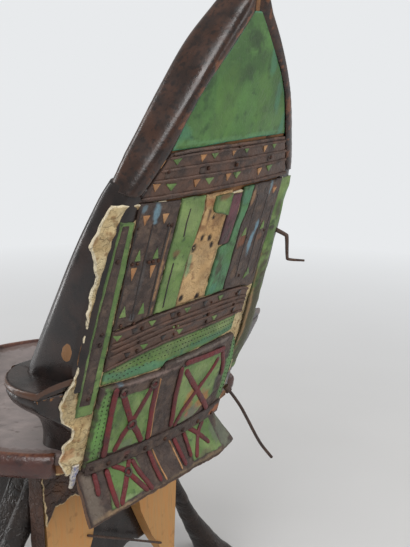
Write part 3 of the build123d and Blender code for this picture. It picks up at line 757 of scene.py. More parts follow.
class NodeBench:
    """Helper that places and joins the nodes of one tree."""

    def __init__(self, tree: bpy.types.NodeTree) -> None:
        """Starts on an empty tree.

        Args:
            tree: the tree to build.
        """
        self.tree = tree
        tree.nodes.clear()

    def add(self, kind: str, inputs: dict | None = None, **settings: object) -> bpy.types.Node:
        """Adds a node.

        Args:
            kind: the node's type name.
            inputs: values or sockets for its inputs, by name or number.
            settings: properties of the node.

        Returns:
            The node.
        """
        node = self.tree.nodes.new(kind)
        for key, value in settings.items():
            setattr(node, key, value)
        for key, value in (inputs or {}).items():
            self.put(node.inputs[key], value)
        return node

    def put(self, socket: bpy.types.NodeSocket, value: object) -> None:
        """Joins an output to a socket, or sets the socket's own value.

        Args:
            socket: the input.
            value: an output to join, or the input's value.
        """
        if isinstance(value, bpy.types.NodeSocket):
            self.tree.links.new(value, socket)
        else:
            socket.default_value = value

    def math(self, operation: str, *values: object, clamp: bool = False) -> bpy.types.NodeSocket:
        """Result of a number operation.

        Args:
            operation: name of the operation.
            values: sockets or numbers.
            clamp: whether the result is kept from 0 to 1.

        Returns:
            The result's socket.
        """
        node = self.add("ShaderNodeMath", dict(enumerate(values)), operation=operation)
        node.use_clamp = clamp
        return node.outputs[0]

    def mix(self, share: object, first: object, second: object) -> bpy.types.NodeSocket:
        """Colour between two colours.

        Args:
            share: socket or number, 0 for the first colour and 1 for the second.
            first: the first colour.
            second: the second colour.

        Returns:
            The colour's socket.
        """
        node = self.add("ShaderNodeMix", data_type="RGBA")
        self.put(node.inputs["Factor"], share)
        self.put(node.inputs["A"], first)
        self.put(node.inputs["B"], second)
        return next(o for o in node.outputs if o.type == "RGBA")

    def ramp(
        self, value: object, low: object, high: object, to_low: float = 0.0, to_high: float = 1.0
    ) -> bpy.types.NodeSocket:
        """Value moved from one range to another and kept inside it.

        Args:
            value: socket or number to move.
            low: start of the range that it comes from.
            high: end of that range.
            to_low: start of the range that it goes to.
            to_high: end of that range.

        Returns:
            The result's socket.
        """
        ranges = {"Value": value, "From Min": low, "From Max": high, "To Min": to_low, "To Max": to_high}
        return self.add("ShaderNodeMapRange", ranges).outputs["Result"]


class Effect(Enum):
    """Shader groups that several finishes share."""

    GRAIN = "leather_grain"
    STAIN = "stain_mask"
    WEAR = "edge_wear"
    TIMBER = "timber_grain"


class EffectShelf:
    """Builds each shared shader group once and places it in materials."""

    def __init__(self) -> None:
        """Builds all the groups."""
        self.groups = {
            Effect.GRAIN: self._grain(),
            Effect.STAIN: self._stain(),
            Effect.WEAR: self._wear(),
            Effect.TIMBER: self._timber(),
        }

    def place(self, bench: NodeBench, effect: Effect, **inputs: float) -> bpy.types.Node:
        """Adds a group to a material.

        Args:
            bench: the material's bench.
            effect: which group.
            inputs: values of its named inputs.

        Returns:
            The group node.
        """
        node = bench.add("ShaderNodeGroup", node_tree=self.groups[effect])
        for key, value in inputs.items():
            node.inputs[key].default_value = value
        return node

    def _start(
        self, effect: Effect, inputs: dict[str, float], outputs: Sequence[str]
    ) -> tuple[bpy.types.NodeTree, NodeBench, bpy.types.Node, bpy.types.Node]:
        """New group with named number sockets.

        Args:
            effect: the group's effect.
            inputs: names and values of its inputs.
            outputs: names of its outputs.

        Returns:
            The tree, its bench, its input node and its output node.
        """
        tree = bpy.data.node_groups.new(effect.value, "ShaderNodeTree")
        for name, value in inputs.items():
            tree.interface.new_socket(name, in_out="INPUT", socket_type="NodeSocketFloat").default_value = value
        for name in outputs:
            tree.interface.new_socket(name, in_out="OUTPUT", socket_type="NodeSocketFloat")
        bench = NodeBench(tree)
        return tree, bench, bench.add("NodeGroupInput"), bench.add("NodeGroupOutput")

    def _noise(
        self, bench: NodeBench, scale: object, detail: float = 3.0, where: object = None
    ) -> bpy.types.NodeSocket:
        """Noise over the object.

        Args:
            bench: bench of the tree.
            scale: socket or number for its scale.
            detail: how many finer layers it has.
            where: socket of the places, or None for plain object coordinates.

        Returns:
            The noise's socket.
        """
        if where is None:
            where = bench.add("ShaderNodeTexCoord").outputs["Object"]
        node = bench.add("ShaderNodeTexNoise", {"Vector": where, "Scale": scale, "Detail": detail})
        return node.outputs[0]

    def _grain(self) -> bpy.types.NodeTree:
        """Leather surface: fine cells, creases and a slow change of tone."""
        tree, bench, source, result = self._start(
            Effect.GRAIN, {"Scale": 420.0, "Creases": 0.5}, ("Height", "Tone")
        )
        where = bench.add("ShaderNodeTexCoord").outputs["Object"]
        cells = bench.add("ShaderNodeTexVoronoi", {"Vector": where, "Scale": source.outputs["Scale"]})
        fine = self._noise(bench, bench.math("MULTIPLY", source.outputs["Scale"], 0.6), 4.0, where)
        creases = self._noise(bench, bench.math("MULTIPLY", source.outputs["Scale"], 0.16), 3.0, where)
        folded = bench.math("ABSOLUTE", bench.math("SUBTRACT", creases, 0.5))
        folded = bench.math("MULTIPLY", bench.ramp(folded, 0.0, 0.06), source.outputs["Creases"])
        height = bench.math("ADD", bench.math("MULTIPLY", cells.outputs["Distance"], 0.35), fine)
        bench.put(result.inputs["Height"], bench.math("ADD", height, folded))
        tone = self._noise(bench, bench.math("MULTIPLY", source.outputs["Scale"], 0.12), 5.0, where)
        bench.put(result.inputs["Tone"], bench.ramp(tone, 0.3, 0.7))
        return tree

    def _stain(self) -> bpy.types.NodeTree:
        """Mask of blotches with broken edges."""
        tree, bench, source, result = self._start(
            Effect.STAIN, {"Scale": 30.0, "Start": 0.5, "Softness": 0.12}, ("Mask",)
        )
        broad = self._noise(bench, source.outputs["Scale"], 6.0)
        low = bench.math("SUBTRACT", source.outputs["Start"], source.outputs["Softness"])
        high = bench.math("ADD", source.outputs["Start"], source.outputs["Softness"])
        bench.put(result.inputs["Mask"], bench.ramp(broad, low, high))
        return tree

    def _wear(self) -> bpy.types.NodeTree:
        """Mask along the edges that the meshes mark with their edge attribute."""
        tree, bench, source, result = self._start(Effect.WEAR, {"Amount": 0.6, "Scale": 160.0}, ("Mask",))
        edge = bench.add("ShaderNodeAttribute", attribute_name="edge").outputs["Fac"]
        broken = self._noise(bench, source.outputs["Scale"], 5.0)
        worn = bench.math("ADD", bench.math("MULTIPLY", edge, 0.9), bench.math("SUBTRACT", broken, 0.5))
        mask = bench.ramp(worn, 0.45, 0.75)
        bench.put(result.inputs["Mask"], bench.math("MULTIPLY", mask, source.outputs["Amount"], clamp=True))
        return tree

    def _timber(self) -> bpy.types.NodeTree:
        """Long wood grain that runs up the piece."""
        tree, bench, source, result = self._start(Effect.TIMBER, {"Scale": 60.0}, ("Height", "Tone"))
        where = bench.add("ShaderNodeTexCoord").outputs["Object"]
        mapped = bench.add("ShaderNodeMapping", {"Vector": where, "Scale": (1.0, 1.0, 0.09)})
        fibres = self._noise(bench, bench.math("MULTIPLY", source.outputs["Scale"], 5.0), 6.0, mapped.outputs[0])
        rings = self._noise(bench, source.outputs["Scale"], 3.0, mapped.outputs[0])
        bench.put(result.inputs["Height"], fibres)
        mixed = bench.math("ADD", bench.math("MULTIPLY", fibres, 0.5), bench.math("MULTIPLY", rings, 0.5))
        bench.put(result.inputs["Tone"], bench.ramp(mixed, 0.38, 0.62))
        return tree


# Darkest and lightest share of a colour's tone that the grain gives
TONE_RANGE = (0.78, 1.18)
# Half widths of the soft edge of mottling and of grime
MOTTLE_SOFTNESS, GRIME_SOFTNESS = 0.12, 0.06
# How much grime covers, and how much of its mottling timber keeps
GRIME_COVER, TIMBER_MOTTLE = 0.75, 0.4
# Scale of the breaks in worn edges, and how rough worn places are at least
WEAR_SCALE, WORN_ROUGHNESS = 170.0, 0.6
# Depth in metres of the grain's relief
RELIEF_DEPTH = 0.0012
# Roughness of a coated finish's coat
COAT_ROUGHNESS = 0.25


@dataclass(frozen=True)
class Finish:
    """A leather, hide, wood or iron surface with its blotches, worn edges and relief."""

    name: str
    base: Colour
    mottle: Colour
    worn: Colour
    grime: Colour = BROWN_DARK
    mottle_start: float = 0.5
    mottle_scale: float = 34.0
    worn_amount: float = 0.6
    grime_start: float = 0.62
    grime_scale: float = 70.0
    smooth: float = 0.45
    rough: float = 0.7
    grain: float = 420.0
    creases: float = 0.5
    relief: float = 0.35
    coat: float = 0.0
    metal: float = 0.0
    timber: bool = False

    def build(self, shelf: EffectShelf) -> bpy.types.Material:
        """Makes the material.

        Args:
            shelf: the shared shader groups.

        Returns:
            The material.
        """
        material = bpy.data.materials.new(self.name)
        material.use_nodes = True
        bench = NodeBench(material.node_tree)
        mottle = shelf.place(
            bench, Effect.STAIN, Scale=self.mottle_scale, Start=self.mottle_start, Softness=MOTTLE_SOFTNESS
        )
        grime = shelf.place(
            bench, Effect.STAIN, Scale=self.grime_scale, Start=self.grime_start, Softness=GRIME_SOFTNESS
        )
        wear = shelf.place(bench, Effect.WEAR, Amount=self.worn_amount, Scale=WEAR_SCALE)
        if self.timber:
            grain = shelf.place(bench, Effect.TIMBER, Scale=self.grain)
        else:
            grain = shelf.place(bench, Effect.GRAIN, Scale=self.grain, Creases=self.creases)
        share = mottle.outputs["Mask"]
        if self.timber:
            share = bench.math("MAXIMUM", bench.math("MULTIPLY", share, TIMBER_MOTTLE), grain.outputs["Tone"])
        colour = bench.mix(share, self.base, self.mottle)
        tone = bench.ramp(grain.outputs["Tone"], 0.0, 1.0, *TONE_RANGE)
        shade = bench.add("ShaderNodeHueSaturation", {"Color": colour, "Value": tone}).outputs[0]
        colour = bench.mix(bench.math("MULTIPLY", grime.outputs["Mask"], GRIME_COVER), shade, self.grime)
        tint = bench.add("ShaderNodeAttribute", attribute_name="tint")
        toned = bench.add("ShaderNodeHueSaturation", {"Color": tint.outputs["Color"], "Value": tone}).outputs[0]
        tinted = bench.add("ShaderNodeAttribute", attribute_name="tint_share").outputs["Fac"]
        colour = bench.mix(tinted, colour, toned)
        colour = bench.mix(wear.outputs["Mask"], colour, self.worn)
        relief = {"Height": grain.outputs["Height"], "Strength": self.relief, "Distance": RELIEF_DEPTH}
        bump = bench.add("ShaderNodeBump", relief).outputs[0]
        gloss = bench.ramp(grain.outputs["Tone"], 0.0, 1.0, self.smooth, self.rough)
        dulled = bench.math("MAXIMUM", gloss, bench.math("MULTIPLY", wear.outputs["Mask"], WORN_ROUGHNESS))
        surface = {"Base Color": colour, "Normal": bump, "Metallic": self.metal, "Roughness": dulled}
        surface |= {"Coat Weight": self.coat, "Coat Roughness": COAT_ROUGHNESS}
        shader = bench.add("ShaderNodeBsdfPrincipled", surface)
        bench.add("ShaderNodeOutputMaterial", {"Surface": shader.outputs[0]})
        return material


FINISHES = {
    "dark": Finish(
        "dark_leather", paint(27, 21, 20), paint(44, 31, 27), paint(104, 68, 46), smooth=0.2, rough=0.34,
        relief=0.08, creases=0.15, worn_amount=0.5, grime=paint(18, 14, 14),
    ),
    "limb": Finish(
        "limb_leather", paint(24, 18, 16), paint(46, 33, 27), paint(96, 70, 52), smooth=0.3, rough=0.55,
        relief=0.5, creases=1.0, grime=paint(26, 21, 20),
    ),
    "upper": Finish(
        "polished_brown_leather", paint(44, 30, 25), paint(66, 42, 31), paint(138, 84, 50), smooth=0.17,
        rough=0.36, relief=0.1, creases=0.2, worn_amount=0.6, mottle_scale=55.0, grime_scale=190.0,
        grime=paint(26, 19, 18), grime_start=0.56,
    ),
    # seat leather: its own grey, with base and mottle lightened further as a painted sheen
    "seat": Finish(
        "seat_leather", paint(140, 129, 127), paint(150, 139, 136), paint(88, 58, 44), creases=0.1,
        smooth=0.28, rough=0.6, relief=0.12, grime=paint(96, 84, 80), grime_start=0.66, mottle_scale=9.0,
        grain=600.0,
    ),
    "rim": Finish(
        "rim_leather", paint(66, 36, 32), paint(86, 50, 40), paint(134, 84, 58), smooth=0.22, rough=0.42,
        relief=0.3, coat=0.3, grime=paint(36, 24, 22),
    ),
    "panel": Finish(
        "panel_leather", BROWN, paint(98, 80, 68), paint(52, 38, 34), smooth=0.46, rough=0.7,
        relief=0.6, creases=0.8, grime=BROWN_DARK, grime_start=0.54, grime_scale=120.0, mottle_start=0.56,
        mottle_scale=85.0,
    ),
    "rust": Finish(
        "banded_leather", paint(82, 62, 52), paint(98, 70, 56), paint(50, 36, 32), smooth=0.42, rough=0.62,
        relief=0.5, grime=BROWN_DARK, grime_start=0.56,
    ),
    "green": Finish(
        "green_leather", GREEN, GREEN_PALE, paint(46, 58, 38), grime=GREEN_DARK, grime_start=0.66,
        smooth=0.42, rough=0.62, relief=0.5, worn_amount=0.5, mottle_start=0.56, grime_scale=120.0,
    ),
    "field": Finish(
        "field_leather", paint(68, 106, 54), paint(84, 124, 66), TEAL, grime=paint(50, 80, 44),
        grime_start=0.6, smooth=0.4, rough=0.6, relief=0.35, worn_amount=0.85, mottle_scale=24.0,
    ),
    "teal": Finish(
        "teal_leather", paint(76, 116, 66), paint(80, 130, 88), paint(46, 62, 44), grime=GREEN_DARK,
        grime_start=0.6, smooth=0.45, rough=0.65, relief=0.5, worn_amount=0.5,
    ),
    "red": Finish(
        "red_leather", RED, paint(94, 34, 35), paint(60, 32, 30), smooth=0.42, rough=0.62, relief=0.5,
        worn_amount=0.7, grime=paint(70, 30, 32), grime_start=0.6,
    ),
    "purple": Finish(
        "purple_leather", PURPLE, paint(110, 70, 74), BROWN_DARK, smooth=0.45, rough=0.65, relief=0.5,
    ),
    "rawhide": Finish(
        "rawhide", CREAM, paint(190, 164, 118), paint(232, 222, 196), grime=paint(140, 104, 66),
        grime_start=0.6, grime_scale=110.0, smooth=0.65, rough=0.9, relief=1.0, creases=1.2, worn_amount=0.7,
    ),
    "torn": Finish(
        "torn_leather", paint(66, 46, 38), paint(84, 58, 46), paint(214, 190, 148), worn_amount=1.0,
        smooth=0.45, rough=0.7, relief=0.9, creases=1.2,
    ),
    "bare": Finish(
        "bare_hide", paint(180, 144, 98), paint(200, 168, 122), paint(120, 88, 60), grime=paint(128, 92, 62),
        grime_start=0.6, smooth=0.6, rough=0.85, relief=0.8, creases=1.0,
    ),
    "tan": Finish("tan_leather", TAN, paint(166, 118, 76), BROWN, smooth=0.5, rough=0.7, relief=0.4),
    "wood": Finish(
        "bare_wood", paint(206, 158, 98), paint(182, 128, 74), paint(216, 178, 124), grime=paint(150, 104, 62),
        grime_start=0.66, smooth=0.55, rough=0.75, relief=0.5, timber=True, grain=90.0,
    ),
    "carved": Finish(
        "carved_wood", paint(150, 108, 68), paint(120, 82, 50), paint(170, 128, 86), smooth=0.6, rough=0.8,
        relief=0.6, timber=True, grain=90.0,
    ),
    "iron": Finish(
        "rivet_iron", paint(58, 44, 40), paint(86, 56, 42), paint(120, 104, 92), smooth=0.35, rough=0.6,
        relief=0.4, grain=900.0, metal=0.6,
    ),
    "thong": Finish(
        "thong_leather", paint(58, 42, 36), paint(84, 60, 46), paint(110, 80, 58), smooth=0.4, rough=0.65,
        relief=0.6, creases=1.0,
    ),
}


# Distance in millimetres between the knots of a stitched line
KNOT_SPACING = 6
# Points of a core this near to each other, in metres, become one
WELD_REACH = 0.00001


class Workshop:
    """The built materials and the two node trees that make repeated things."""

    def __init__(self) -> None:
        """Builds the finishes and trees."""
        shelf = EffectShelf()
        self.finish = {key: finish.build(shelf) for key, finish in FINISHES.items()}
        self.stitch_tree = self._bead_tree("stitch_row", along_path=True)
        self.stud_tree = self._bead_tree("stud_set", along_path=False)

    def _bead_tree(self, name: str, along_path: bool) -> bpy.types.NodeTree:
        """Tree that sets rounded beads on points, or at a pitch along the lines of a mesh.

        Args:
            name: name of the tree.
            along_path: whether the beads follow lines.

        Returns:
            The tree.
        """
        tree = bpy.data.node_groups.new(name, "GeometryNodeTree")
        tree.interface.new_socket("Geometry", in_out="INPUT", socket_type="NodeSocketGeometry")
        sizes = {"Pitch": 0.004, "Length": 0.003, "Width": 0.001, "Height": 0.001, "Jitter": 0.2}
        for label, value in sizes.items():
            tree.interface.new_socket(label, in_out="INPUT", socket_type="NodeSocketFloat").default_value = value
        tree.interface.new_socket("Seed", in_out="INPUT", socket_type="NodeSocketInt").default_value = 3
        tree.interface.new_socket("Material", in_out="INPUT", socket_type="NodeSocketMaterial")
        tree.interface.new_socket("Geometry", in_out="OUTPUT", socket_type="NodeSocketGeometry")
        bench = NodeBench(tree)
        source = bench.add("NodeGroupInput").outputs
        points = source["Geometry"]
        outward = bench.add("GeometryNodeInputNamedAttribute", {"Name": "outward"}, data_type="FLOAT_VECTOR")
        normal = next(o for o in outward.outputs if o.type == "VECTOR" and o.enabled)
        turned = bench.add("FunctionNodeAlignRotationToVector", {"Vector": normal}, axis="Z")
        if along_path:
            curve = bench.add("GeometryNodeMeshToCurve", {"Mesh": points})
            spaced = bench.add("GeometryNodeResampleCurve", {"Curve": curve.outputs[0]}, mode="LENGTH")
            bench.put(spaced.inputs["Length"], source["Pitch"])
            points = spaced.outputs[0]
            tangent = bench.add("GeometryNodeInputTangent").outputs[0]
            turned = bench.add(
                "FunctionNodeAlignRotationToVector", {"Rotation": turned.outputs[0], "Vector": tangent},
                axis="X", pivot_axis="Z",
            )
        bead = bench.add("GeometryNodeMeshUVSphere", {"Segments": 8, "Rings": 5, "Radius": 0.5})
        sides = {"X": source["Length"], "Y": source["Width"], "Z": source["Height"]}
        size = bench.add("ShaderNodeCombineXYZ", sides)
        chance = bench.add("FunctionNodeRandomValue", data_type="FLOAT")
        limits = {
            "Min": bench.math("SUBTRACT", 1.0, source["Jitter"]),
            "Max": bench.math("ADD", 1.0, source["Jitter"]),
            "Seed": source["Seed"],
        }
        for socket in chance.inputs:
            if socket.enabled and socket.name in limits:
                bench.put(socket, limits[socket.name])
        factor = next(o for o in chance.outputs if o.enabled)
        scaled = bench.add("ShaderNodeVectorMath", {0: size.outputs[0]}, operation="SCALE")
        bench.put(scaled.inputs["Scale"], factor)
        each = {"Points": points, "Instance": bead.outputs["Mesh"]}
        each |= {"Rotation": turned.outputs[0], "Scale": scaled.outputs[0]}
        placed = bench.add("GeometryNodeInstanceOnPoints", each)
        real = bench.add("GeometryNodeRealizeInstances", {"Geometry": placed.outputs[0]})
        soft = bench.add("GeometryNodeSetShadeSmooth", {"Geometry": real.outputs[0]})
        dressed = bench.add("GeometryNodeSetMaterial", {"Geometry": soft.outputs[0], "Material": source["Material"]})
        bench.add("NodeGroupOutput", {"Geometry": dressed.outputs[0]})
        return tree

    def beads(
        self,
        name: str,
        lines: Sequence[Sequence[tuple[float, float, float]]],
        material: str,
        size: tuple[float, float, float],
        pitch: float | None = None,
        face: CrownedFace = REAR,
        jitter: float = 0.2,
        seed: int = 3,
    ) -> bpy.types.Object:
        """Stitches along lines, or studs on points, as one plain mesh.

        Args:
            name: name of the piece.
            lines: lines of (x, v, out) places.
            material: name of the finish.
            size: length, width and height of a bead in millimetres.
            pitch: distance between beads along a line, or None for one bead on each place.
            face: the face that they lie on.
            jitter: how unequal they are.
            seed: pattern of the unequal sizes.

        Returns:
            The object.
        """
        points = []
        edges = []
        normals = []
        for line in lines:
            places = np.array(line, float)
            if pitch:
                count = max(2, int(np.linalg.norm(places[-1, :2] - places[0, :2]) / KNOT_SPACING))
                places = smooth_line(places, count + 2)
                edges += [(len(points) + i, len(points) + i + 1) for i in range(len(places) - 1)]
            here = face.points(places[:, 0], places[:, 1], places[:, 2])
            above = face.points(places[:, 0], places[:, 1], places[:, 2] + 1)
            points += (here * MM).tolist()
            normals += (above - here).tolist()
        mesh = bpy.data.meshes.new(name)
        mesh.from_pydata(points, edges, [])
        layer = mesh.attributes.new("outward", "FLOAT_VECTOR", "POINT")
        layer.data.foreach_set("vector", np.array(normals, np.float32).ravel())
        obj = new_object(name, mesh)
        modifier = obj.modifiers.new("beads", "NODES")
        tree = self.stitch_tree if pitch else self.stud_tree
        modifier.node_group = tree
        values = {
            "Pitch": (pitch or 1) * MM, "Length": size[0] * MM, "Width": size[1] * MM, "Height": size[2] * MM,
            "Jitter": jitter, "Seed": seed, "Material": self.finish[material],
        }
        for item in tree.interface.items_tree:
            if item.in_out == "INPUT" and item.name in values:
                modifier[item.identifier] = values[item.name]
        obj.update_tag()
        keep_result(obj, name)
        return obj

    def skin_over(
        self,
        name: str,
        node: str,
        material: str,
        grow: float,
        voxel: float = 2.6,
        relax: int = 4,
        lumps: float = 0.5,
        lump_size: float = 22.0,
        folds: float = 0.0,
        behind: float | None = None,
        seed: int = 1,
    ) -> bpy.types.Object:
        """Leather drawn over a wooden core: a copy of the core, grown, eased and made uneven.

        Args:
            name: name of the piece.
            node: the core's CAD node.
            material: name of the finish.
            grow: thickness of the leather.
            voxel: size of the new mesh's cells.
            relax: how often its points are eased.
            lumps: height of slow unevenness.
            lump_size: how far apart the lumps are.
            folds: height of folds across the piece.
            behind: how far off the rear face its points may stand, or None where it doesn't lie there.
            seed: pattern of the unevenness.

        Returns:
            The object.
        """
        obj = new_object(name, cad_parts[node].data.copy())
        weld = obj.modifiers.new("weld", "WELD")
        weld.merge_threshold = WELD_REACH
        remesh = obj.modifiers.new("remesh", "REMESH")
        remesh.mode = "VOXEL"
        remesh.voxel_size = voxel * MM
        ease = obj.modifiers.new("ease", "SMOOTH")
        ease.iterations = relax
        ease.factor = 0.5
        mesh = keep_result(obj, name)
        count = len(mesh.vertices)
        points = np.empty(count * 3)
        normals = np.empty(count * 3)
        mesh.vertices.foreach_get("co", points)
        mesh.vertices.foreach_get("normal", normals)
        points = points.reshape(-1, 3) / MM
        normals = normals.reshape(-1, 3)
        push = grow + lumps * ripple(points, lump_size, seed) + 0.35 * lumps * ripple(points, lump_size / 4, seed + 3)
        if folds:
            bent = points * np.array([0.35, 0.35, 1.0])
            push = push + folds * np.abs(ripple(bent, 15.0, seed + 5, 1)) - 0.5 * folds
        push = np.maximum(push, 0.4)
        if behind is not None:
            push = push - (push + 0.6) * np.clip(normals @ REAR.outward * 2.4 - 1.2, 0, 1)
        points = points + normals * push[:, None]
        points[:, 2] = np.maximum(points[:, 2], 0.0)
        if behind is not None:
            below = points[:, 2] < REAR.origin[2]
            points[below] = REAR.hold_in_front(points[below], behind)
            flush = below & (normals @ REAR.outward > 0.8)
            points[flush] = REAR.hold_in_front(points[flush] + REAR.outward * 1.4, behind)
        mesh.vertices.foreach_set("co", (points * MM).ravel())
        mesh.materials.clear()
        mesh.materials.append(self.finish[material])
        mesh.shade_smooth()
        mesh.update()
        return obj


@dataclass
class Backrest:
    """Leaf-shaped backrest: its leather covers, neck and flared collar."""

    shop: Workshop
    drop: float = 312.0
    half_width: float = 148.0
    thickness: float = 74.0
    collar_seat: float = 398.0
    neck_rear: float = 215.0
    shares: tuple[tuple[float, float, float], ...] = (
        (-0.609, 0.088, 0.243), (-0.465, 0.338, 0.419), (-0.314, 0.554, 0.446), (-0.160, 0.736, 0.446),
        (0.0, 0.919, 0.432), (0.192, 0.986, 0.568), (0.401, 1.014, 0.730), (0.593, 1.007, 0.919),
        (0.769, 1.0, 1.081),
    )
    field_edge: tuple[tuple[float, float], ...] = (
        (-175.0, 6.0), (-153.5, 25.0), (-135.0, 41.0), (-117.3, 56.0), (-98.0, 70.0), (-72.4, 82.5),
        (-48.0, 93.0), (0.0, 123.0),
    )
    corner_fullness: float = 0.83
    loop_points: int = 150

    def build(self) -> None:
        """Makes all its pieces."""
        self._upper_cover()
        self._lower_cover()
        self._neck()
        self._flange()

    def _sizes(self, v: float) -> tuple[float, float]:
        """Size of the board at a place.

        Args:
            v: distance down.

        Returns:
            Half width and thickness.
        """
        table = np.array(self.shares)
        line = smooth_line(table * [self.drop, 1, 1], 200)
        return (
            float(np.interp(v, line[:, 0], line[:, 1])) * self.half_width,
            float(np.interp(v, line[:, 0], line[:, 2])) * self.thickness,
        )

    def _section(self, v: float, grow: float, rear: Sequence[tuple[float, float]]) -> np.ndarray:
        """Loop of (x, forward) places round the board.

        Args:
            v: distance down.
            grow: distance outside the wood.
            rear: (x, out) places of the leather's edge on the rear face, from the middle outwards.

        Returns:
            The closed loop.
        """
        half, thick = (size + grow for size in self._sizes(v))
        side = [(x, REAR.depth(x, out)) for x, out in rear]
        start, near = side[-1]
        widest = half + 0.6
        reach = 0.44 * thick
        for turn in np.linspace(0.22, 1.35, 7):
            across, along = math.sin(turn) ** self.corner_fullness, math.cos(turn) ** self.corner_fullness
            side.append((start + (widest - start) * across, near + (reach - near) * (1 - along)))
        return self._closed(side + self._front(widest, 0.5 * thick, thick, 3.4))

    def _front(self, half: float, start: float, deep: float, fullness: float) -> list[tuple[float, float]]:
        """Side and front of a section, from its widest place to the middle of the hollow front.

        Args:
            half: half width.
            start: distance forward of the widest place.
            deep: distance forward of the front.
            fullness: how square the corner is, 2 for an ellipse.

        Returns:
            Places of x and distance forward.
        """
        turns = np.linspace(0, 0.5 * math.pi, 26)
        x = half * np.cos(turns) ** (2 / fullness)
        forward = start + (deep - start) * np.sin(turns) ** (2 / fullness)
        forward = forward - 0.05 * half * (1 - np.clip(x / (0.8 * half), 0, 1) ** 2)
        return list(zip(x.tolist(), forward.tolist()))

    def _closed(self, side: Sequence[tuple[float, float]]) -> np.ndarray:
        """Closed even loop from the left half of a section.

        Args:
            side: places of x and distance forward, from the rear to the middle of the front.

        Returns:
            The loop.
        """
        knots = list(side) + [(-x, forward) for x, forward in reversed(side[:-1])]
        return smooth_line(knots, self.loop_points, closed=True)

    def _upper_cover(self) -> None:
        """Brown cover of the upper part, rolled over its rear edge round the green field."""
        stations = np.concatenate([np.linspace(-191.5, -170, 12), np.linspace(-168, -8, 76)])
        loops = []
        for v in stations:
            level = max(v, -190.0)
            half, _ = self._sizes(level)
            edge = min(read_table(self.field_edge, v), half - 2.5)
            grow = read_table(((-192, 0.4), (-186, 4.2), (-40, 4.4), (-12, 2.4)), v)
            width = half + grow - edge
            rear = ((max(edge - 5.0, 0.4), -1.0), (edge, 1.6), (edge + 0.25 * width, 3.9), (edge + 0.46 * width, 4.2))
            loops.append(self._section(level, grow, rear))
        loops = np.array(loops)
        points = REAR.place(loops[..., 0], stations[:, None], loops[..., 1])
        away = points - points.mean(1, keepdims=True)
        away = away / np.maximum(np.linalg.norm(away, axis=-1, keepdims=True), 1)
        points = points + away * (0.25 * ripple(points, 70.0, 11, 1))[..., None]
        across = np.abs(loops[..., 0])
        edge = read_table(self.field_edge, stations)[:, None]
        rim = np.clip(1 - np.abs(across - edge - 6) / 13, 0, 1) * (loops[..., 1] < 12)
        rim = rim * np.clip(0.45 + 1.1 * ripple(points, 9.0, 12), 0, 1)
        obj = loft_piece("backrest_upper_cover", points, self.shop.finish["upper"], edge=rim)
        settle(obj, "brown_leather", "backrest_upper_cover")

    def _lower_cover(self) -> None:
        """Black cover of the lower part, full at its front edges, down to the collar."""
        stations = np.linspace(-14, 240, 100)
        loops = []
        for v in stations:
            half, thick = self._sizes(v)
            deep = thick + read_table(((-14, 1.5), (0, 4.0), (60, 7.0), (240, 10.0)), v)
            side = [(half - inset, REAR.depth(half - inset, out)) for inset, out in ((30.0, 0.12), (1.6, 0.15))]
            side.append((half + 1.6, REAR.depth(half, 0.0) + 2.0))
            loops.append(self._closed(side + self._front(half + 3.4, 0.5 * thick, deep, 5.5)))
        loops = np.array(loops)
        points = REAR.place(loops[..., 0], stations[:, None], loops[..., 1])
        points[..., 2] = np.maximum(points[..., 2], self.collar_seat)
        obj = loft_piece("backrest_lower_cover", points, self.shop.finish["dark"])
        settle(obj, "dark_leather", "backrest_lower_cover")

    def _ring(self, half: float, front: float, corner: float, z: float, inset: float = 0.0) -> np.ndarray:
        """Rounded rectangle of points at a height, held in front of the rear face.

        Args:
            half: half width.
            front: y of its front.
            corner: radius of its corners.
            z: its height.
            inset: how far inside those sizes it runs.

        Returns:
            The points.
        """
        turns = np.linspace(0, math.pi / 2, 9)
        half, front, corner = half - inset, front + inset, corner - inset
        middle, deep = (front + self.neck_rear) / 2, (self.neck_rear - front) / 2
        knots = []
        for quarter, (sx, sy) in enumerate(((1, 1), (-1, 1), (-1, -1), (1, -1))):
            centre = np.array([sx * (half - corner), middle + sy * (deep - corner)])
            angles = turns + quarter * math.pi / 2
            knots += (centre + corner * np.stack([np.cos(angles), np.sin(angles)], -1)).tolist()
        loop = smooth_line(knots, self.loop_points, closed=True)
        points = np.concatenate([loop, np.full((len(loop), 1), z)], axis=1)
        return REAR.hold_in_front(points, 0.0)

    def _neck(self) -> None:
        """Leather of the neck, which flares into the collar."""
        obj = self.shop.skin_over(
            "neck_cover", "backrest_neck", "dark", 3.0, voxel=2.4, relax=1, lumps=0.5, lump_size=30.0,
            behind=0.0, seed=5,
        )
        settle(obj, "dark_leather", "neck_cover")

    def _flange(self) -> None:
        """Thick rolled lip of the collar."""
        turns = np.linspace(-0.5 * math.pi, 0.5 * math.pi, 11)
        top = self.collar_seat
        roll = [(190, 84, 64, top + 4.6 + 4.4 * math.sin(turn), 5.0 * (1 - math.cos(turn))) for turn in turns]
        inner = [(189, 85, 63, top + rise, inset) for inset, rise in ((20, 7.6), (38, 9.0), (52, 10.5))]
        loops = np.array([self._ring(*ring) for ring in [(189, 85, 63, top + 0.2, 40), *roll, *inner]])
        edge = np.zeros(loops.shape[:2])
        edge[3:10] = 0.9
        loops = loops + np.stack([0 * edge, 0 * edge, 0.7 * ripple(loops, 24.0, 8)], -1)
        loops = REAR.hold_in_front(loops, 0.0)
        obj = loft_piece("collar_flange", loops, self.shop.finish["dark"], edge=edge)
        settle(obj, "dark_leather", "collar_flange")


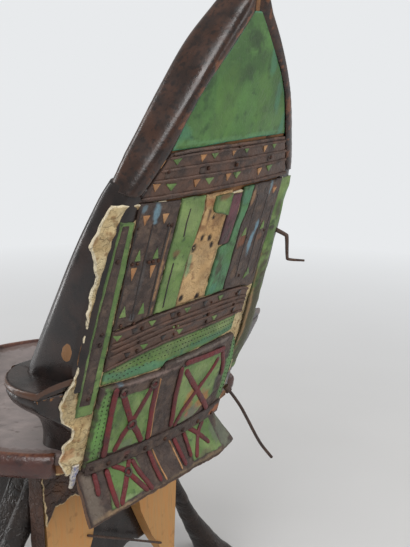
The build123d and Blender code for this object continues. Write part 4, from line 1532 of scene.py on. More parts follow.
@dataclass
class RearFace:
    """Everything on the rear face: hide, strips, bands, the square panel and its riveted strip."""

    shop: Workshop

    def build(self) -> None:
        """Makes all its pieces."""
        self._rawhide()
        self._upper()
        self._strips()
        self._border_strips()
        self._lower_band()
        self._square_panel()

    def _patch(self, patch: Patch, finish: str, slot: str, *nodes: str) -> None:
        """Builds a patch and settles it.

        Args:
            patch: the patch.
            finish: name of its finish.
            slot: its material slot.
            nodes: the CAD nodes it stands for.
        """
        settle(patch.build(self.shop.finish[finish]), slot, *nodes)

    def _tiles(self, tiles: dict[str, tuple[list, str, str]], low: float, high: float) -> None:
        """Builds and settles sets of let-in shapes.

        Args:
            tiles: outlines, finish and material slot of each set, by its name.
            low: distance off the face of their undersides.
            high: distance off the face of their tops.
        """
        for name, (outlines, finish, slot) in tiles.items():
            settle(Tiles(name, tuple(outlines), low, high).build(self.shop.finish[finish]), slot)

    def _studs(self, name: str, places: Sequence[tuple[float, float, float]], size: tuple, **how: float) -> None:
        """Builds and settles small iron studs.

        Args:
            name: name of the piece.
            places: x, v and out of each stud.
            size: length, width and height of a stud.
            how: unevenness and seed.
        """
        settle(self.shop.beads(name, [[place] for place in places], "iron", size, **how), "rivet_iron")

    def _rawhide(self) -> None:
        """Torn hide under the panels, seen at the left edge."""
        sheet = Patch(
            "rawhide_sheet",
            left=(
                (0, 148), (8, 152), (20, 157), (42, 161), (56, 156), (72, 150), (100, 151), (132, 148), (160, 148),
                (190, 152), (212, 161), (234, 156), (245, 141), (256, 139), (264, 148), (284, 149), (302, 136),
            ),
            right=((0, -130), (47, -131), (118, -132), (171, -133), (221, -128), (250, -122), (302, -112)),
            top=0.0, foot=302.0, low=0.2, high=1.7, ragged=3.2, ragged_size=13.0, lumps=1.1, lump_size=7.0,
            curl=1.6, step=2.4, seed=21,
            dabs=(
                Dab(128, 12, 9, 6, ORANGE, 0.7), Dab(145, 275, 12, 8, ORANGE, 0.5), Dab(152, 205, 6, 12, BROWN, 0.4),
            ),
        )
        self._patch(sheet, "rawhide", "rawhide", "rawhide_sheet")
        tongue = Patch(
            "stained_tongue", left=((290, 132), (322, 131)), right=((290, 124), (322, 126.5)), top=292.0,
            foot=((124, 318), (128, 323), (133, 319)), low=1.8, high=3.4, ragged=1.2, lumps=0.8, lump_size=4.0,
            curl=1.0, seed=22, dabs=(Dab(128, 308, 9, 24, paint(62, 84, 160), 1.0),),
        )
        self._patch(tongue, "rawhide", "rawhide")

    def _upper(self) -> None:
        """Green field and the banded strip below it, with its cords, let-in shapes and studs."""
        self._green_field()
        sides = ((-50, 93.0), (-48, 93.5), (0, 122.5))
        band = Patch(
            "upper_band", left=sides, right=tuple((v, -x) for v, x in sides),
            top=((-95, -50), (-30, -52), (20, -51), (60, -49), (100, -47)),
            foot=((-125, -1), (-100, -2.5), (-40, -5), (10, -5.5), (70, -3), (125, -0.5)),
            low=0.2, high=2.6, lumps=0.5, seed=32,
        )
        self._patch(band, "rust", "panel_leather", "upper_band")
        self._band_ridges()
        tan_places = ((104, -38), (52, -41), (6, -44), (-51, -42), (105, -15.5), (54, -16.5), (7, -18), (-50, -17))
        green_places = ((86, -40), (36, -43), (-15, -44.5), (-70, -43), (87, -15), (36, -17), (-7, -18.5), (-70, -18))
        grey_places = ((50, -29), (-4, -31), (-66, -30), (94, -27))
        tan = [((x - 4.5, v - 4), (x + 4.5, v - 4), (x + 0.5, v + 4)) for x, v in tan_places]
        green = [((x - 6.5, v - 3.5), (x + 6.5, v - 3.5), (x - 1, v + 3.5)) for x, v in green_places]
        grey = [((x - 3, v - 3), (x + 3, v - 3), (x + 3, v + 3), (x - 3, v + 3)) for x, v in grey_places]
        tiles = {
            "upper_band_tan": (tan, "tan", "rawhide"),
            "upper_band_green": (green, "green", "green_leather"),
            "upper_band_grey": (grey, "panel", "panel_leather"),
        }
        self._tiles(tiles, 2.2, 3.3)
        studs = [(x, -30 - abs(x) * 0.01, 3.4) for x in (94, 41, -3, -67)] + [(x, -49, 3.4) for x in (-2, 30)]
        self._studs("upper_band_studs", studs, (4.2, 4.2, 3.0))

    def _green_field(self) -> None:
        """Green field that fills the top of the rear face."""
        edge = ((-176, 5.0), (-153.5, 24.0), (-135, 40.0), (-117.3, 55.5), (-98, 69.5), (-72.4, 82.0), (-47, 93.0))
        overlap = 1.5
        field = Patch(
            "green_field",
            left=tuple((v, x + overlap) for v, x in edge), right=tuple((v, -x - overlap) for v, x in edge),
            top=-176.0, foot=((-95, -53), (-30, -55), (20, -54), (60, -51), (100, -49)), low=0.2, high=1.5,
            ragged=0.3, lumps=0.5, lump_size=40.0, step=2.6, round_off=2.0, seed=31,
            dabs=(
                Dab(-2, -148, 15, 12, paint(44, 66, 36), 0.75), Dab(-12, -130, 26, 12, paint(52, 80, 44), 0.6),
                Dab(16, -118, 16, 9, paint(58, 84, 46), 0.5), Dab(-62, -72, 30, 10, paint(96, 138, 74), 0.4),
                Dab(84, -66, 14, 10, TEAL, 0.55), Dab(96, -53, 6, 4, paint(120, 178, 150), 0.7),
                Dab(40, -56, 70, 3, paint(104, 150, 100), 0.6), Dab(-50, -58, 40, 3, paint(96, 146, 104), 0.5),
                Dab(-79, -62, 6, 14, TEAL, 0.6), Dab(-59, -96, 6, 18, TEAL, 0.5), Dab(-38, -130, 6, 16, TEAL, 0.5),
                Dab(30, -90, 18, 36, paint(96, 132, 62), 0.35), Dab(-30, -90, 16, 30, paint(92, 128, 60), 0.3),
            ),
        )
        self._patch(field, "field", "green_leather", "green_field")

    def _band_ridges(self) -> None:
        """Raised cords along the upper and the lower band."""
        cords = []
        # heights at the left end, the middle and the right end, and the half length
        routes = (
            (-47, -51, -49, 92),
            (-43, -47, -45, 95),
            (-31, -35, -33, 103),
            (-21, -24, -22.5, 109),
            (-5, -8.5, -6, 119),
        )
        for index, (start, middle, end, reach) in enumerate(routes):
            left, right = (start + middle) / 2 - 1, (middle + end) / 2 - 0.5
            line = ((reach, start), (60, left), (0, middle), (-60, right), (-reach, end))
            cords.append(Strap(line, 3.4, 1.9, 2.4, smooth=True, twist=4.0, seed=index + 3))
        for index, fall in enumerate((0.03, 0.33, 0.48, 0.64, 0.93)):
            line = tuple((x, top + (foot - top) * fall) for x, top, foot in LowerBand.lines)
            cords.append(Strap(line, 3.2, 1.9, 4.6, smooth=True, twist=4.0, seed=index + 13))
        ridges = straps_piece("band_ridges", cords, self.shop.finish["rust"])
        settle(ridges, "panel_leather", "band_ridges")

    def _strip(self, name: str, lift: float, finish: str, slot: str, **sizes: object) -> None:
        """Builds and settles an upright strip that ends on the lower band.

        Args:
            name: name of the strip and of its CAD node.
            lift: how far above the band's upper edge it ends.
            finish: name of its finish.
            slot: its material slot.
            sizes: the patch's other values.
        """
        foot = tuple((x, v - lift) for x, v in LowerBand.top_edge)
        self._patch(Patch(name, **({"foot": foot, "low": 1.8, "high": 3.8} | sizes)), finish, slot, name)

    def _strips(self) -> None:
        """Upright strips between the two bands."""
        self._strip(
            "brown_strip_left", 1.2, "panel", "panel_leather", left=119.3, right=((0, 69.5), (60, 71), (130, 72.5)),
            top=-1.0, seed=41, curl=0.5,
            dabs=(
                Dab(98, 8, 3.6, 12, BLUE, 0.85), Dab(114, 4, 3, 4, BLUE, 0.5),
                Dab(100, 80, 3.5, 30, paint(86, 84, 84), 0.5), Dab(76, 80, 1.8, 46, TAN, 0.6),
                Dab(100, 121, 3, 6, paint(104, 110, 116), 0.5),
            ),
        )
        self._strip(
            "green_pair_strip", 1.4, "green", "green_leather", left=((0, 68), (60, 69.5), (122, 71.5)),
            right=((0, 36), (14, 33), (40, 36), (70, 41), (120, 41)), top=-3.0, high=3.9, ragged=1.2, seed=42, curl=0.7,
            dabs=(
                Dab(60, 57, 5, 5, paint(112, 80, 50), 0.85), Dab(60, 62, 2.5, 3, paint(30, 40, 26), 0.9),
                Dab(62, 20, 8, 30, GREEN_PALE, 0.4), Dab(48, 100, 8, 18, GREEN_PALE, 0.4),
            ),
        )
        self._strip(
            "bare_strip", 2.0, "bare", "rawhide", left=((0, 34), (14, 31), (40, 34), (60, 39), (120, 40)),
            right=((0, -8), (30, -7), (60, -5), (120, -4)), top=-3.0, high=3.0, ragged=1.0, seed=43, lumps=0.35,
            dabs=(
                Dab(36, 72, 4, 14, paint(128, 160, 118), 0.8), Dab(22, 20, 2, 8, paint(70, 44, 32), 0.7),
                Dab(8, 30, 12, 8, paint(150, 116, 78), 0.5), Dab(26, 6, 8, 5, paint(150, 86, 48), 0.5),
            ),
            pits=(
                (34, 55, 3.2), (24, 45, 2.4), (12, 47, 3.0), (6, 56, 2.8), (34, 112, 3.0), (8, 116, 3.6), (14, 24, 2.0),
            ),
        )
        self._strip(
            "purple_strip", 0.0, "purple", "purple_leather", left=((0, -9.5), (60, -8.0)),
            right=((0, -27), (30, -28.5), (60, -25)), top=2.0, foot=59.0, high=3.7, ragged=1.0, seed=44,
            dabs=(Dab(-16, 50, 9, 12, paint(60, 52, 50), 0.8), Dab(-14, 20, 7, 8, paint(120, 70, 78), 0.4)),
        )
        self._strip(
            "teal_strip", 1.6, "teal", "green_leather",
            left=((0, -28.5), (30, -29.5), (58, -26), (62, -9.5), (120, -7)),
            right=((0, -47.5), (22, -45), (40, -40), (120, -39)), top=-3.5, ragged=1.3, seed=45, curl=0.6,
            dabs=(
                Dab(-38, 8, 10, 9, TEAL, 0.5), Dab(-17, 88, 6, 16, paint(66, 62, 40), 0.8),
                Dab(-18, 112, 6, 6, TEAL, 0.7), Dab(-28, 20, 3, 20, GREEN_DARK, 0.6),
                Dab(-24, 100, 2, 14, BROWN_DARK, 0.6),
            ),
        )
        self._strip(
            "brown_strip_right", 1.2, "panel", "panel_leather", left=((0, -48.5), (22, -46), (40, -41), (120, -40)),
            right=-112.3, top=((-112, -1.5), (-45, -4)), ragged=0.9, seed=46, curl=0.5,
            dabs=(
                Dab(-77, 50, 4.5, 10, BLUE, 0.85), Dab(-72, 68, 4.5, 16, BLUE, 0.8), Dab(-87, 5, 2.5, 10, BLUE, 0.7),
                Dab(-50, 12, 4, 9, TAN, 0.5), Dab(-97, 10, 6, 5, ORANGE, 0.5),
                Dab(-52, 62, 8, 7, paint(138, 84, 52), 0.6), Dab(-90, 66, 7, 5, paint(134, 92, 64), 0.5),
                Dab(-52, 100, 5, 10, paint(112, 84, 60), 0.4),
            ),
        )
        remnant = Patch(
            "green_remnant", left=((0, 19), (14, 18), (25, 10)), right=((0, -8), (25, -9)), top=0.5,
            foot=((-9, 25), (19, 17)), low=3.0, high=4.4, ragged=1.6, curl=1.2, seed=48,
            dabs=(Dab(4, 2, 10, 4, paint(120, 60, 40), 0.7), Dab(4, 14, 10, 8, GREEN_PALE, 0.7)),
        )
        self._patch(remnant, "green", "green_leather")
        self._strip_details()

    def _strip_details(self) -> None:
        """Let-in triangles, seams and small studs of the upright strips."""
        tan = [((x - 4, 11), (x + 4, 11), (x, 21.5)) for x in (110, 86.5)]
        tan += [((x - 3.4, 65), (x + 3.4, 65), (x, 79)) for x in (111, 88)]
        tan += [((-102.5, 8), (-93.5, 8), (-97, 15))]
        green = [((x - 3.6, 58), (x, 46), (x + 3.6, 58)) for x in (109, 87)]
        green += [((x - 4.0, 118.5), (x, 106), (x + 4.0, 118.5)) for x in (112, 89)]
        green += [((x - 5.0, 56), (x - 1, 46), (x + 5.0, 56)) for x in (-52, -92)]
        green += [((-92, 112), (-86, 102), (-79, 115))]
        tiles = {
            "strip_tan_triangles": (tan, "tan", "rawhide"),
            "strip_green_triangles": (green, "green", "green_leather"),
        }
        self._tiles(tiles, 3.3, 4.3)
        # x, top and foot of each seam
        runs = (
            (100, 20, 124), (79, 20, 122), (118, 4, 130), (54.5, 8, 40), (60, 66, 118), (-60, 8, 110), (-84, 12, 112),
            (-106, 30, 118),
        )
        seams = [
            Strap(((x, top), (x + 0.8, (top + foot) / 2), (x, foot)), 2.2, 0.8, 3.6, seed=foot) for x, top, foot in runs
        ]
        settle(straps_piece("strip_seams", seams, self.shop.finish["dark"]), "dark_leather")
        studs = [(x, 61, 4.2) for x in (114, 108, 94, 89, 82)] + [(x, 24, 4.2) for x in (117, 80, 75)]
        studs += [(x, 128, 4.4) for x in (112, 96, 80)] + [(-60, 60, 4.2), (-100, 60, 4.2), (-67, 108, 4.2)]
        self._studs("strip_studs", studs, (3.6, 3.6, 2.4), jitter=0.35)

    def _border_strips(self) -> None:
        """Green-edged strips down both sides; the right one stands off the edge."""
        self._patch(
            Patch(
                "left_border_strip",
                left=((16, 137), (80, 141), (140, 143), (200, 143), (230, 141.5)),
                right=((16, 121.5), (140, 121.2), (230, 122.3)),
                top=((120, 18), (137, 16)), foot=((120, 229), (143, 230)), low=1.8, high=3.8, ragged=0.8,
                seed=51, curl=0.7, dabs=(Dab(132, 222, 9, 7, GREEN_PALE, 0.4),),
            ),
            "green", "green_leather", "left_border_strip",
        )
        inlay = Patch(
            "left_border_inlay", left=((20, 135.0), (80, 138.8), (140, 141.0), (216, 140.8)),
            right=((20, 127.6), (216, 128.4)), top=20.0, foot=216.0, low=3.4, high=4.7, seed=52, ragged=0.4,
        )
        self._patch(inlay, "panel", "panel_leather")
        self._studs("border_studs", [(132.5, v, 4.9) for v in (56, 134, 146, 208)], (4.6, 4.6, 2.6))
        self._loose_strip()

    def _loose_strip(self) -> None:
        """Right border strip, torn loose and standing off the edge of the panel."""
        # v and how far off the face the strip stands
        route = ((1, 2.2), (47, 2.4), (97, 3.0), (140, 4.6), (187, 6.5), (225, 3.0), (256, -2.0))
        line = smooth_line(route, 110)
        shares = np.linspace(0, 1, 15)
        t = np.linspace(0, 1, len(line))
        inner = -114.5 - 1.2 * ripple(np.stack([line[:, 0], 0 * t], -1), 14.0, 61)
        outer = -136 + 2.0 * ripple(np.stack([line[:, 0], 9 + 0 * t], -1), 12.0, 62)
        x = inner[:, None] * (1 - shares) + outer[:, None] * shares
        v = np.repeat(line[:, :1], len(shares), axis=1)
        bow = 2.5 * np.sin(math.pi * shares) * np.sin(math.pi * t)[:, None]
        off = line[:, 1:] + bow + 0.8 * ripple(np.stack([x, v], -1), 16.0, 63)
        edge_in = np.minimum(shares, 1 - shares) * 28
        thick = 2.0 * np.sqrt(np.clip(edge_in / 1.2, 0.1, 1))[None] * np.ones_like(x)
        upper, under = (REAR.place(x, v, -off + side * thick / 2) for side in (-1, 1))
        dabs = (
            Dab(-127, 40, 6, 10, BROWN, 0.7), Dab(-124, 178, 18, 76, paint(66, 52, 42), 0.85),
            Dab(-116, 170, 2.5, 60, paint(176, 140, 100), 0.7), Dab(-134, 190, 4, 50, paint(84, 92, 54), 0.6),
            Dab(-120, 62, 5, 4, BROWN_DARK, 0.9), Dab(-135, 20, 8, 12, paint(120, 150, 110), 0.5),
            Dab(-130, 215, 10, 20, paint(70, 74, 46), 0.6),
        )
        tint = dab_tint(x, v, dabs, 64)
        edge = np.clip(1 - edge_in / 4, 0, 1)[None] * np.ones_like(x)
        obj = shell_piece("right_border_strip", upper, under, self.shop.finish["green"], edge=edge, tint=tint)
        settle(obj, "green_leather", "right_border_strip")

    def _lower_band(self) -> None:
        """Arched band of dark leather with windows."""
        self._patch(
            Patch(
                "lower_band", left=119.5, right=-101.0, top=LowerBand.top_edge, foot=LowerBand.foot_edge, low=1.8,
                high=4.7, lumps=0.6, seed=71,
                dabs=(Dab(60, 138, 60, 5, paint(74, 68, 66), 0.4), Dab(-20, 148, 60, 6, paint(70, 64, 62), 0.4)),
            ),
            "rust", "panel_leather", "lower_band",
        )
        band = LowerBand
        # x and the share of the way down the band of each window
        green_places = (
            (114, 0.18), (72, 0.17), (22, 0.17), (-36, 0.16), (76, 0.78), (26, 0.78), (-34, 0.78), (34, 0.62),
        )
        dark_places = ((94, 0.17), (44, 0.17), (-8, 0.17), (-78, 0.2), (96, 0.8), (50, 0.78), (-14, 0.62), (-76, 0.78))
        green = [(x, band.level(x, share)) for x, share in green_places]
        green = [((x - 5.5, v - 2.5), (x + 5.5, v - 3.5), (x - 1, v + 3.5)) for x, v in green]
        dark = [(x, band.level(x, share)) for x, share in dark_places]
        dark = [((x - 4, v - 3), (x + 4, v - 3), (x, v + 3.5)) for x, v in dark]
        self._tiles({"lower_band_green": (green, "green", "green_leather")}, 4.2, 5.4)
        self._tiles({"lower_band_dark": (dark, "dark", "dark_leather")}, 4.2, 5.3)
        studs = [(x, band.level(x, share), 5.6) for x in (84, 34, -20, -72) for share in (0.2, 0.56, 0.8)]
        self._studs("lower_band_studs", studs, (3.8, 3.8, 2.4), jitter=0.3)
        self._patch(
            Patch(
                "green_strip", left=118.5, right=-88.0, top=tuple((x, v + 1.2) for x, v in band.foot_edge),
                foot=((-90, 184), (-40, 186), (0, 187), (34, 188), (38, 194), (120, 196)), low=1.8, high=3.8,
                ragged=0.8, seed=72, lumps=0.4,
                dabs=(
                    Dab(60, 188, 70, 6, TEAL, 0.6), Dab(-40, 180, 60, 5, paint(56, 110, 84), 0.7),
                    Dab(0, 166, 60, 3, paint(120, 148, 70), 0.4),
                ),
            ),
            "green", "green_leather", "green_strip",
        )
        rows = [[(x, band.level(x, 1) + drop, 3.9) for x in (112, 60, 20, -30, -84)] for drop in (5, 11, 17)]
        settle(self.shop.beads("green_strip_stitches", rows, "dark", (2.4, 1.0, 0.9), pitch=5.0), "dark_leather")

    def _square_panel(self) -> None:
        """Square panel with two green fields under red crossed straps, and the riveted strip."""
        panel = Patch(
            "x_panel",
            left=119.5,
            right=((186, -88), (200, -102), (235, -110), (270, -108), (290, -101), (302, -102)),
            top=((-110, 200), (-92, 189), (-60, 187.5), (0, 188.5), (34, 189.5), (37, 197), (120, 198)),
            foot=302.0, low=1.8, high=7.2, ragged=0.6, lumps=0.5, seed=81, round_off=2.2,
            dabs=(
                Dab(112, 245, 8, 56, paint(102, 146, 76), 0.95), Dab(-99, 232, 9, 46, paint(92, 138, 78), 0.95),
                Dab(60, 199, 45, 3, paint(150, 128, 120), 0.6), Dab(-30, 190, 60, 3, paint(140, 128, 118), 0.5),
                Dab(-50, 262, 22, 14, paint(140, 76, 44), 0.6), Dab(72, 210, 26, 6, paint(100, 82, 72), 0.6),
                Dab(-78, 250, 8, 14, paint(44, 30, 30), 0.8), Dab(-40, 266, 16, 12, paint(112, 106, 100), 0.5),
                Dab(96, 198, 4, 3, BLUE, 0.7),
            ),
        )
        self._patch(panel, "panel", "panel_leather", "x_panel")
        fields = [
            Patch(
                "green_fields", left=((206, 100), (284, 97)), right=((206, 48), (284, 41)), top=213.0, foot=284.0,
                low=7.0, high=8.0, ragged=1.4, seed=83,
                dabs=(
                    Dab(72, 281, 12, 7, paint(108, 122, 92), 0.8), Dab(71, 226, 6, 10, GREEN_PALE, 0.5),
                    Dab(55, 262, 6, 12, GREEN_PALE, 0.5), Dab(90, 240, 5, 16, GREEN_DARK, 0.4),
                ),
            ),
            Patch(
                "right_field", left=((200, 5), (282, 1)), right=((200, -72), (216, -76), (262, -80), (284, -70)),
                top=((-80, 204), (5, 202)), foot=((-80, 262), (-40, 284), (5, 283)), low=7.0, high=8.0, ragged=1.4,
                seed=84,
                dabs=(
                    Dab(-34, 276, 20, 12, paint(112, 108, 96), 0.9), Dab(-24, 256, 9, 22, ORANGE, 0.6),
                    Dab(-52, 262, 14, 14, ORANGE, 0.65), Dab(-78, 250, 7, 14, paint(44, 30, 30), 0.9),
                    Dab(-32, 216, 10, 10, GREEN_PALE, 0.5), Dab(-68, 214, 8, 6, paint(110, 96, 84), 0.7),
                ),
            ),
            Patch(
                "flap_field_left", left=((-8, 88), (42, 97)), right=((-8, 52), (42, 40)), top=-6.0,
                foot=((38, 37), (100, 42)), low=1.9, high=3.0, face=FLAP, ragged=1.2, seed=85,
                dabs=(Dab(90, 30, 8, 10, paint(84, 76, 60), 0.7), Dab(72, 38, 14, 4, paint(150, 170, 120), 0.6)),
            ),
            Patch(
                "flap_field_right", left=-36.0, right=((-8, -84), (36, -97)), top=-6.0, foot=((-98, 38), (-36, 36)),
                low=1.9, high=3.0, face=FLAP, ragged=1.6, seed=86,
                dabs=(Dab(-88, 20, 8, 14, GREY_GREEN, 0.6), Dab(-60, 34, 18, 6, paint(96, 84, 66), 0.6)),
            ),
        ]
        built = [patch.build(self.shop.finish["green"]) for patch in fields]
        settle(merge_pieces("green_fields", built), "green_leather", "green_fields")
        self._red_straps()
        self._pale_lines()
        stitches = [[(112 + dx, 204, 7.4), (112 + dx, 244, 7.4), (111 + dx, 284, 7.4)] for dx in (-3.5, 2.5)]
        stitches.append([(-96, 196, 7.4), (-104, 232, 7.4), (-103, 276, 7.4)])
        stitches.append([(-90, 200, 7.4), (-97, 232, 7.4), (-97, 272, 7.4)])
        settle(self.shop.beads("panel_stitches", stitches, "dark", (2.4, 1.1, 0.9), pitch=5.2), "dark_leather")
        strip = Patch(
            "riveted_strip", left=119.8, right=-101.5, top=((-102, 284), (-40, 285), (30, 285), (70, 286), (120, 289)),
            foot=((-102, 301), (0, 301), (60, 302), (120, 305)), low=7.3, high=9.7, ragged=0.6, seed=82,
            lumps=0.4, dabs=(Dab(-90, 293, 12, 5, ORANGE, 0.7), Dab(68, 291, 5, 4, paint(110, 52, 46), 0.5)),
        )
        self._patch(strip, "panel", "panel_leather", "riveted_strip")
        rivets = [[(x, 294 + abs(x) * 0.02, 9.9)] for x in (114, 92, 68, 40, 8, -24, -54, -84)]
        rivets = self.shop.beads("strip_rivets", rivets, "iron", (5.6, 5.6, 3.2), jitter=0.15, seed=5)
        settle(rivets, "rivet_iron", "strip_rivets")

    def _red_straps(self) -> None:
        """Red straps round and across the fields, on the square panel and on the flap."""
        square = (
            ((103, 200), (102, 240), (99, 288)), ((46, 206), (43, 245), (38, 285)),
            ((94, 206), (84, 226), (71, 250), (58, 268), (47, 284)),
            ((49, 206), (58, 226), (70, 250), (80, 266), (87, 284)),
            ((8, 200), (6, 240), (0, 282)), ((4, 197), (-30, 199), (-76, 203)),
            ((-70, 204), (-80, 222), (-86, 244)), ((0, 206), (-14, 222), (-34, 244), (-56, 268), (-72, 286)),
            ((-66, 212), (-48, 232), (-30, 248), (-14, 266), (-5, 284)),
        )
        flap = (
            ((107, -4), (108, 22)), ((91, -2), (90, 42)), ((84, -4), (66, 11), (50, 34), (44, 40)),
            ((58, -4), (66, 11), (80, 34), (84, 42)), ((56, 0), (48, 22), (38, 42)), ((30, -2), (27, 20), (23, 38)),
            ((-12, -2), (-17, 18), (-22, 36)), ((-32, -2), (-34, 30)), ((-38, -6), (-57, 9), (-74, 26)),
            ((-74, -4), (-57, 9), (-42, 34)),
        )
        straps = [Strap(line, 7.6, 1.9, 7.9, smooth=True, waver=0.7, seed=i + 1) for i, line in enumerate(square)]
        straps += [
            Strap(line, 6.4, 1.6, 2.9, face=FLAP, smooth=len(line) > 2, waver=0.6, seed=i + 21)
            for i, line in enumerate(flap)
        ]
        settle(straps_piece("red_straps", straps, self.shop.finish["red"]), "red_leather", "red_straps")
        rings = []
        turns = np.linspace(0, 2 * math.pi, 13)
        knots = (
            (71, 253, REAR, 9.6, 5.0), (92, 208, REAR, 9.0, 4.5), (50, 208, REAR, 9.0, 4.5), (66, 11, FLAP, 4.6, 4.0),
        )
        for x, v, face, out, radius in knots:
            line = tuple((x + radius * math.cos(turn), v + radius * math.sin(turn)) for turn in turns)
            rings.append(Strap(line, 2.8, 1.6, out, face=face, smooth=True, seed=int(x)))
        settle(straps_piece("cross_rings", rings, self.shop.finish["panel"]), "panel_leather")

    def _pale_lines(self) -> None:
        """Thin pale green lines beside the flap's middle stripe."""
        lines = (((24, -4), (20, 18), (14, 40)), ((-4, -6), (-9, 14), (-15, 38)))
        straps = [Strap(line, 2.2, 1.0, 2.0, face=FLAP, smooth=True, seed=i + 41) for i, line in enumerate(lines)]
        straps += [Strap(((40, 205), (38, 245), (33, 284)), 1.8, 0.8, 7.2, seed=44)]
        settle(straps_piece("pale_lines", straps, self.shop.finish["tan"]), "rawhide")


class LowerBand:
    """Arch of the lower band, shared by the pieces that lie on it and beside it."""

    lines: tuple[tuple[float, float, float], ...] = (
        (118.8, 134.0, 180.0), (100.0, 131.0, 174.0), (80.0, 126.0, 169.0), (60.0, 123.2, 165.0),
        (40.0, 121.4, 162.0), (0.0, 120.1, 160.5), (-40.0, 120.8, 160.5), (-80.0, 125.4, 162.0),
        (-100.0, 132.3, 164.0),
    )
    top_edge: tuple[tuple[float, float], ...] = tuple((x, top) for x, top, _ in lines)
    foot_edge: tuple[tuple[float, float], ...] = tuple((x, foot) for x, _, foot in lines)

    @classmethod
    def level(cls, x: float, share: float) -> float:
        """Distance down of a place on the band.

        Args:
            x: distance across.
            share: share of the way from the band's top to its foot.

        Returns:
            The distance.
        """
        top, foot = (read_table(edge, x) for edge in (cls.top_edge, cls.foot_edge))
        return top + (foot - top) * share


@dataclass
class KickedFlap:
    """Stiff flap below the square panel, with its leather facing."""

    shop: Workshop

    def build(self) -> None:
        """Makes the flap's board and facing."""
        left = ((-16, 124.5), (50, 125.0))
        right = ((-14, -99), (0, -104), (20, -117), (38, -129), (44, -126))
        top = ((-125, -9), (-60, -8), (0, -3), (60, -7), (125, -12))
        board = Patch(
            "flap_board", left=left, right=right, top=top,
            foot=((-130, 42), (-90, 47), (-40, 45), (0, 46), (40, 46), (85, 48), (125, 51)),
            low=-4.0, high=0.0, face=FLAP, ragged=1.2, lumps=0.5, seed=91,
        )
        settle(board.build(self.shop.finish["thong"]), "rawhide", "flap_board")
        facing = Patch(
            "flap_facing", left=left, right=right, top=top,
            foot=((-130, 40), (-90, 44), (-40, 42), (0, 43), (40, 43), (85, 46), (125, 49)),
            low=0.2, high=2.0, face=FLAP, ragged=1.0, lumps=0.5, seed=92,
            dabs=(
                Dab(116, 24, 8, 40, paint(112, 100, 88), 0.8), Dab(60, 45, 60, 4, paint(150, 124, 92), 0.7),
                Dab(-50, 42, 60, 4, paint(128, 108, 80), 0.7), Dab(-108, 20, 14, 30, GREY_GREEN, 0.8),
                Dab(8, 20, 14, 26, paint(70, 54, 48), 0.5), Dab(36, 20, 6, 24, BROWN, 0.6),
                Dab(-26, 18, 5, 22, BROWN, 0.6),
            ),
        )
        settle(facing.build(self.shop.finish["panel"]), "panel_leather", "flap_facing")


@dataclass
class Seat:
    """Round dished seat with its rolled rim."""

    shop: Workshop
    centre_y: float = 20.0
    radius: float = 190.0
    rim_width: float = 15.0
    rim_level: float = 312.0
    roll_across: float = 9.0
    roll_up: float = 13.6
    underside: float = 299.2
    base: float = 311.0

    def build(self) -> None:
        """Makes the seat's leather and rim."""
        self._cover()
        self._rim()

    def _rear_limit(self, z: float, gap: float) -> float:
        """Distance from the seat's middle back to the backrest's rear face.

        Args:
            z: height.
            gap: distance kept from the face.

        Returns:
            The distance.
        """
        _, face_y, face_z = REAR.origin
        return face_y + math.tan(math.radians(REAR.tilt)) * (face_z - z) - gap - self.centre_y

    def _reach(self, turns: np.ndarray, radius: float, z: float) -> np.ndarray:
        """Distance from the middle to the edge, cut off by the rear face.

        Args:
            turns: directions round the middle.
            radius: distance where nothing cuts it off.
            z: height.

        Returns:
            The distance in each direction.
        """
        rear = self._rear_limit(z, 1.0)
        limit = np.where(np.sin(turns) > 0.05, rear / np.maximum(np.sin(turns), 0.05), np.inf)
        return np.minimum(radius, limit)

    def _cover(self) -> None:
        """Dished leather, a little wrinkled, its grey lightened as a painted sheen."""
        turns = np.linspace(0, 2 * math.pi, 145)[:-1]
        shares = np.linspace(0, 1, 46)
        reach = self._reach(turns, self.radius + 2.0, self.base)
        r = shares[:, None] * reach[None]
        x = r * np.cos(turns)
        y = self.centre_y + r * np.sin(turns)
        share = r / self.radius
        rise = 4.0 + 8.0 * np.clip((share - 0.35) / 0.65, 0, 1.05) ** 2
        places = np.stack([x, y], -1)
        rise = rise + 0.7 * ripple(places, 46.0, 101) + 0.25 * ripple(places, 11.0, 102)
        z = self.base + rise
        edge = np.clip((share - 0.86) / 0.12, 0, 1)
        upper = np.stack([x, y, z], -1)
        under = np.stack([x, y, np.full_like(x, self.base + 0.2)], -1)
        points = np.concatenate([upper, under[::-1]])
        points[0] = points[0].mean(0)
        points[-1] = points[-1].mean(0)
        values = np.concatenate([edge, edge[::-1]])
        obj = loft_piece("seat_cover", points, self.shop.finish["seat"], edge=values)
        settle(obj, "seat_leather", "seat_cover")

    def _rim(self) -> None:
        """Rolled rim, cut off where the backrest's rear face passes."""
        stop = math.asin(self._rear_limit(self.rim_level, 2.0) / (self.radius + self.rim_width))
        turns = np.linspace(stop, -math.pi - stop, 200)
        around = np.linspace(0, 2 * math.pi, 25)[:-1]
        loops = []
        for index, turn in enumerate(turns):
            wave = 0.5 * ripple(np.array([[index * 1.5, 3.0]]), 12.0, 111)[0]
            radius = self.radius + 6.0 + (self.roll_across + wave) * np.cos(around)
            z = self.rim_level + 0.6 + (self.roll_up + 0.6 * wave) * np.sin(around)
            loops.append(np.stack([radius * math.cos(turn), self.centre_y + radius * math.sin(turn), z], -1))
        loops = np.array(loops)
        loops[..., 2] = np.maximum(loops[..., 2], self.underside)
        loops = REAR.hold_in_front(loops, 0.0)
        edge = np.tile(np.clip(np.sin(around), 0, 1) ** 3, (len(turns), 1)) * 0.8
        obj = loft_piece("seat_rim", loops, self.shop.finish["rim"], edge=edge)
        settle(obj, "rim_leather", "seat_rim")


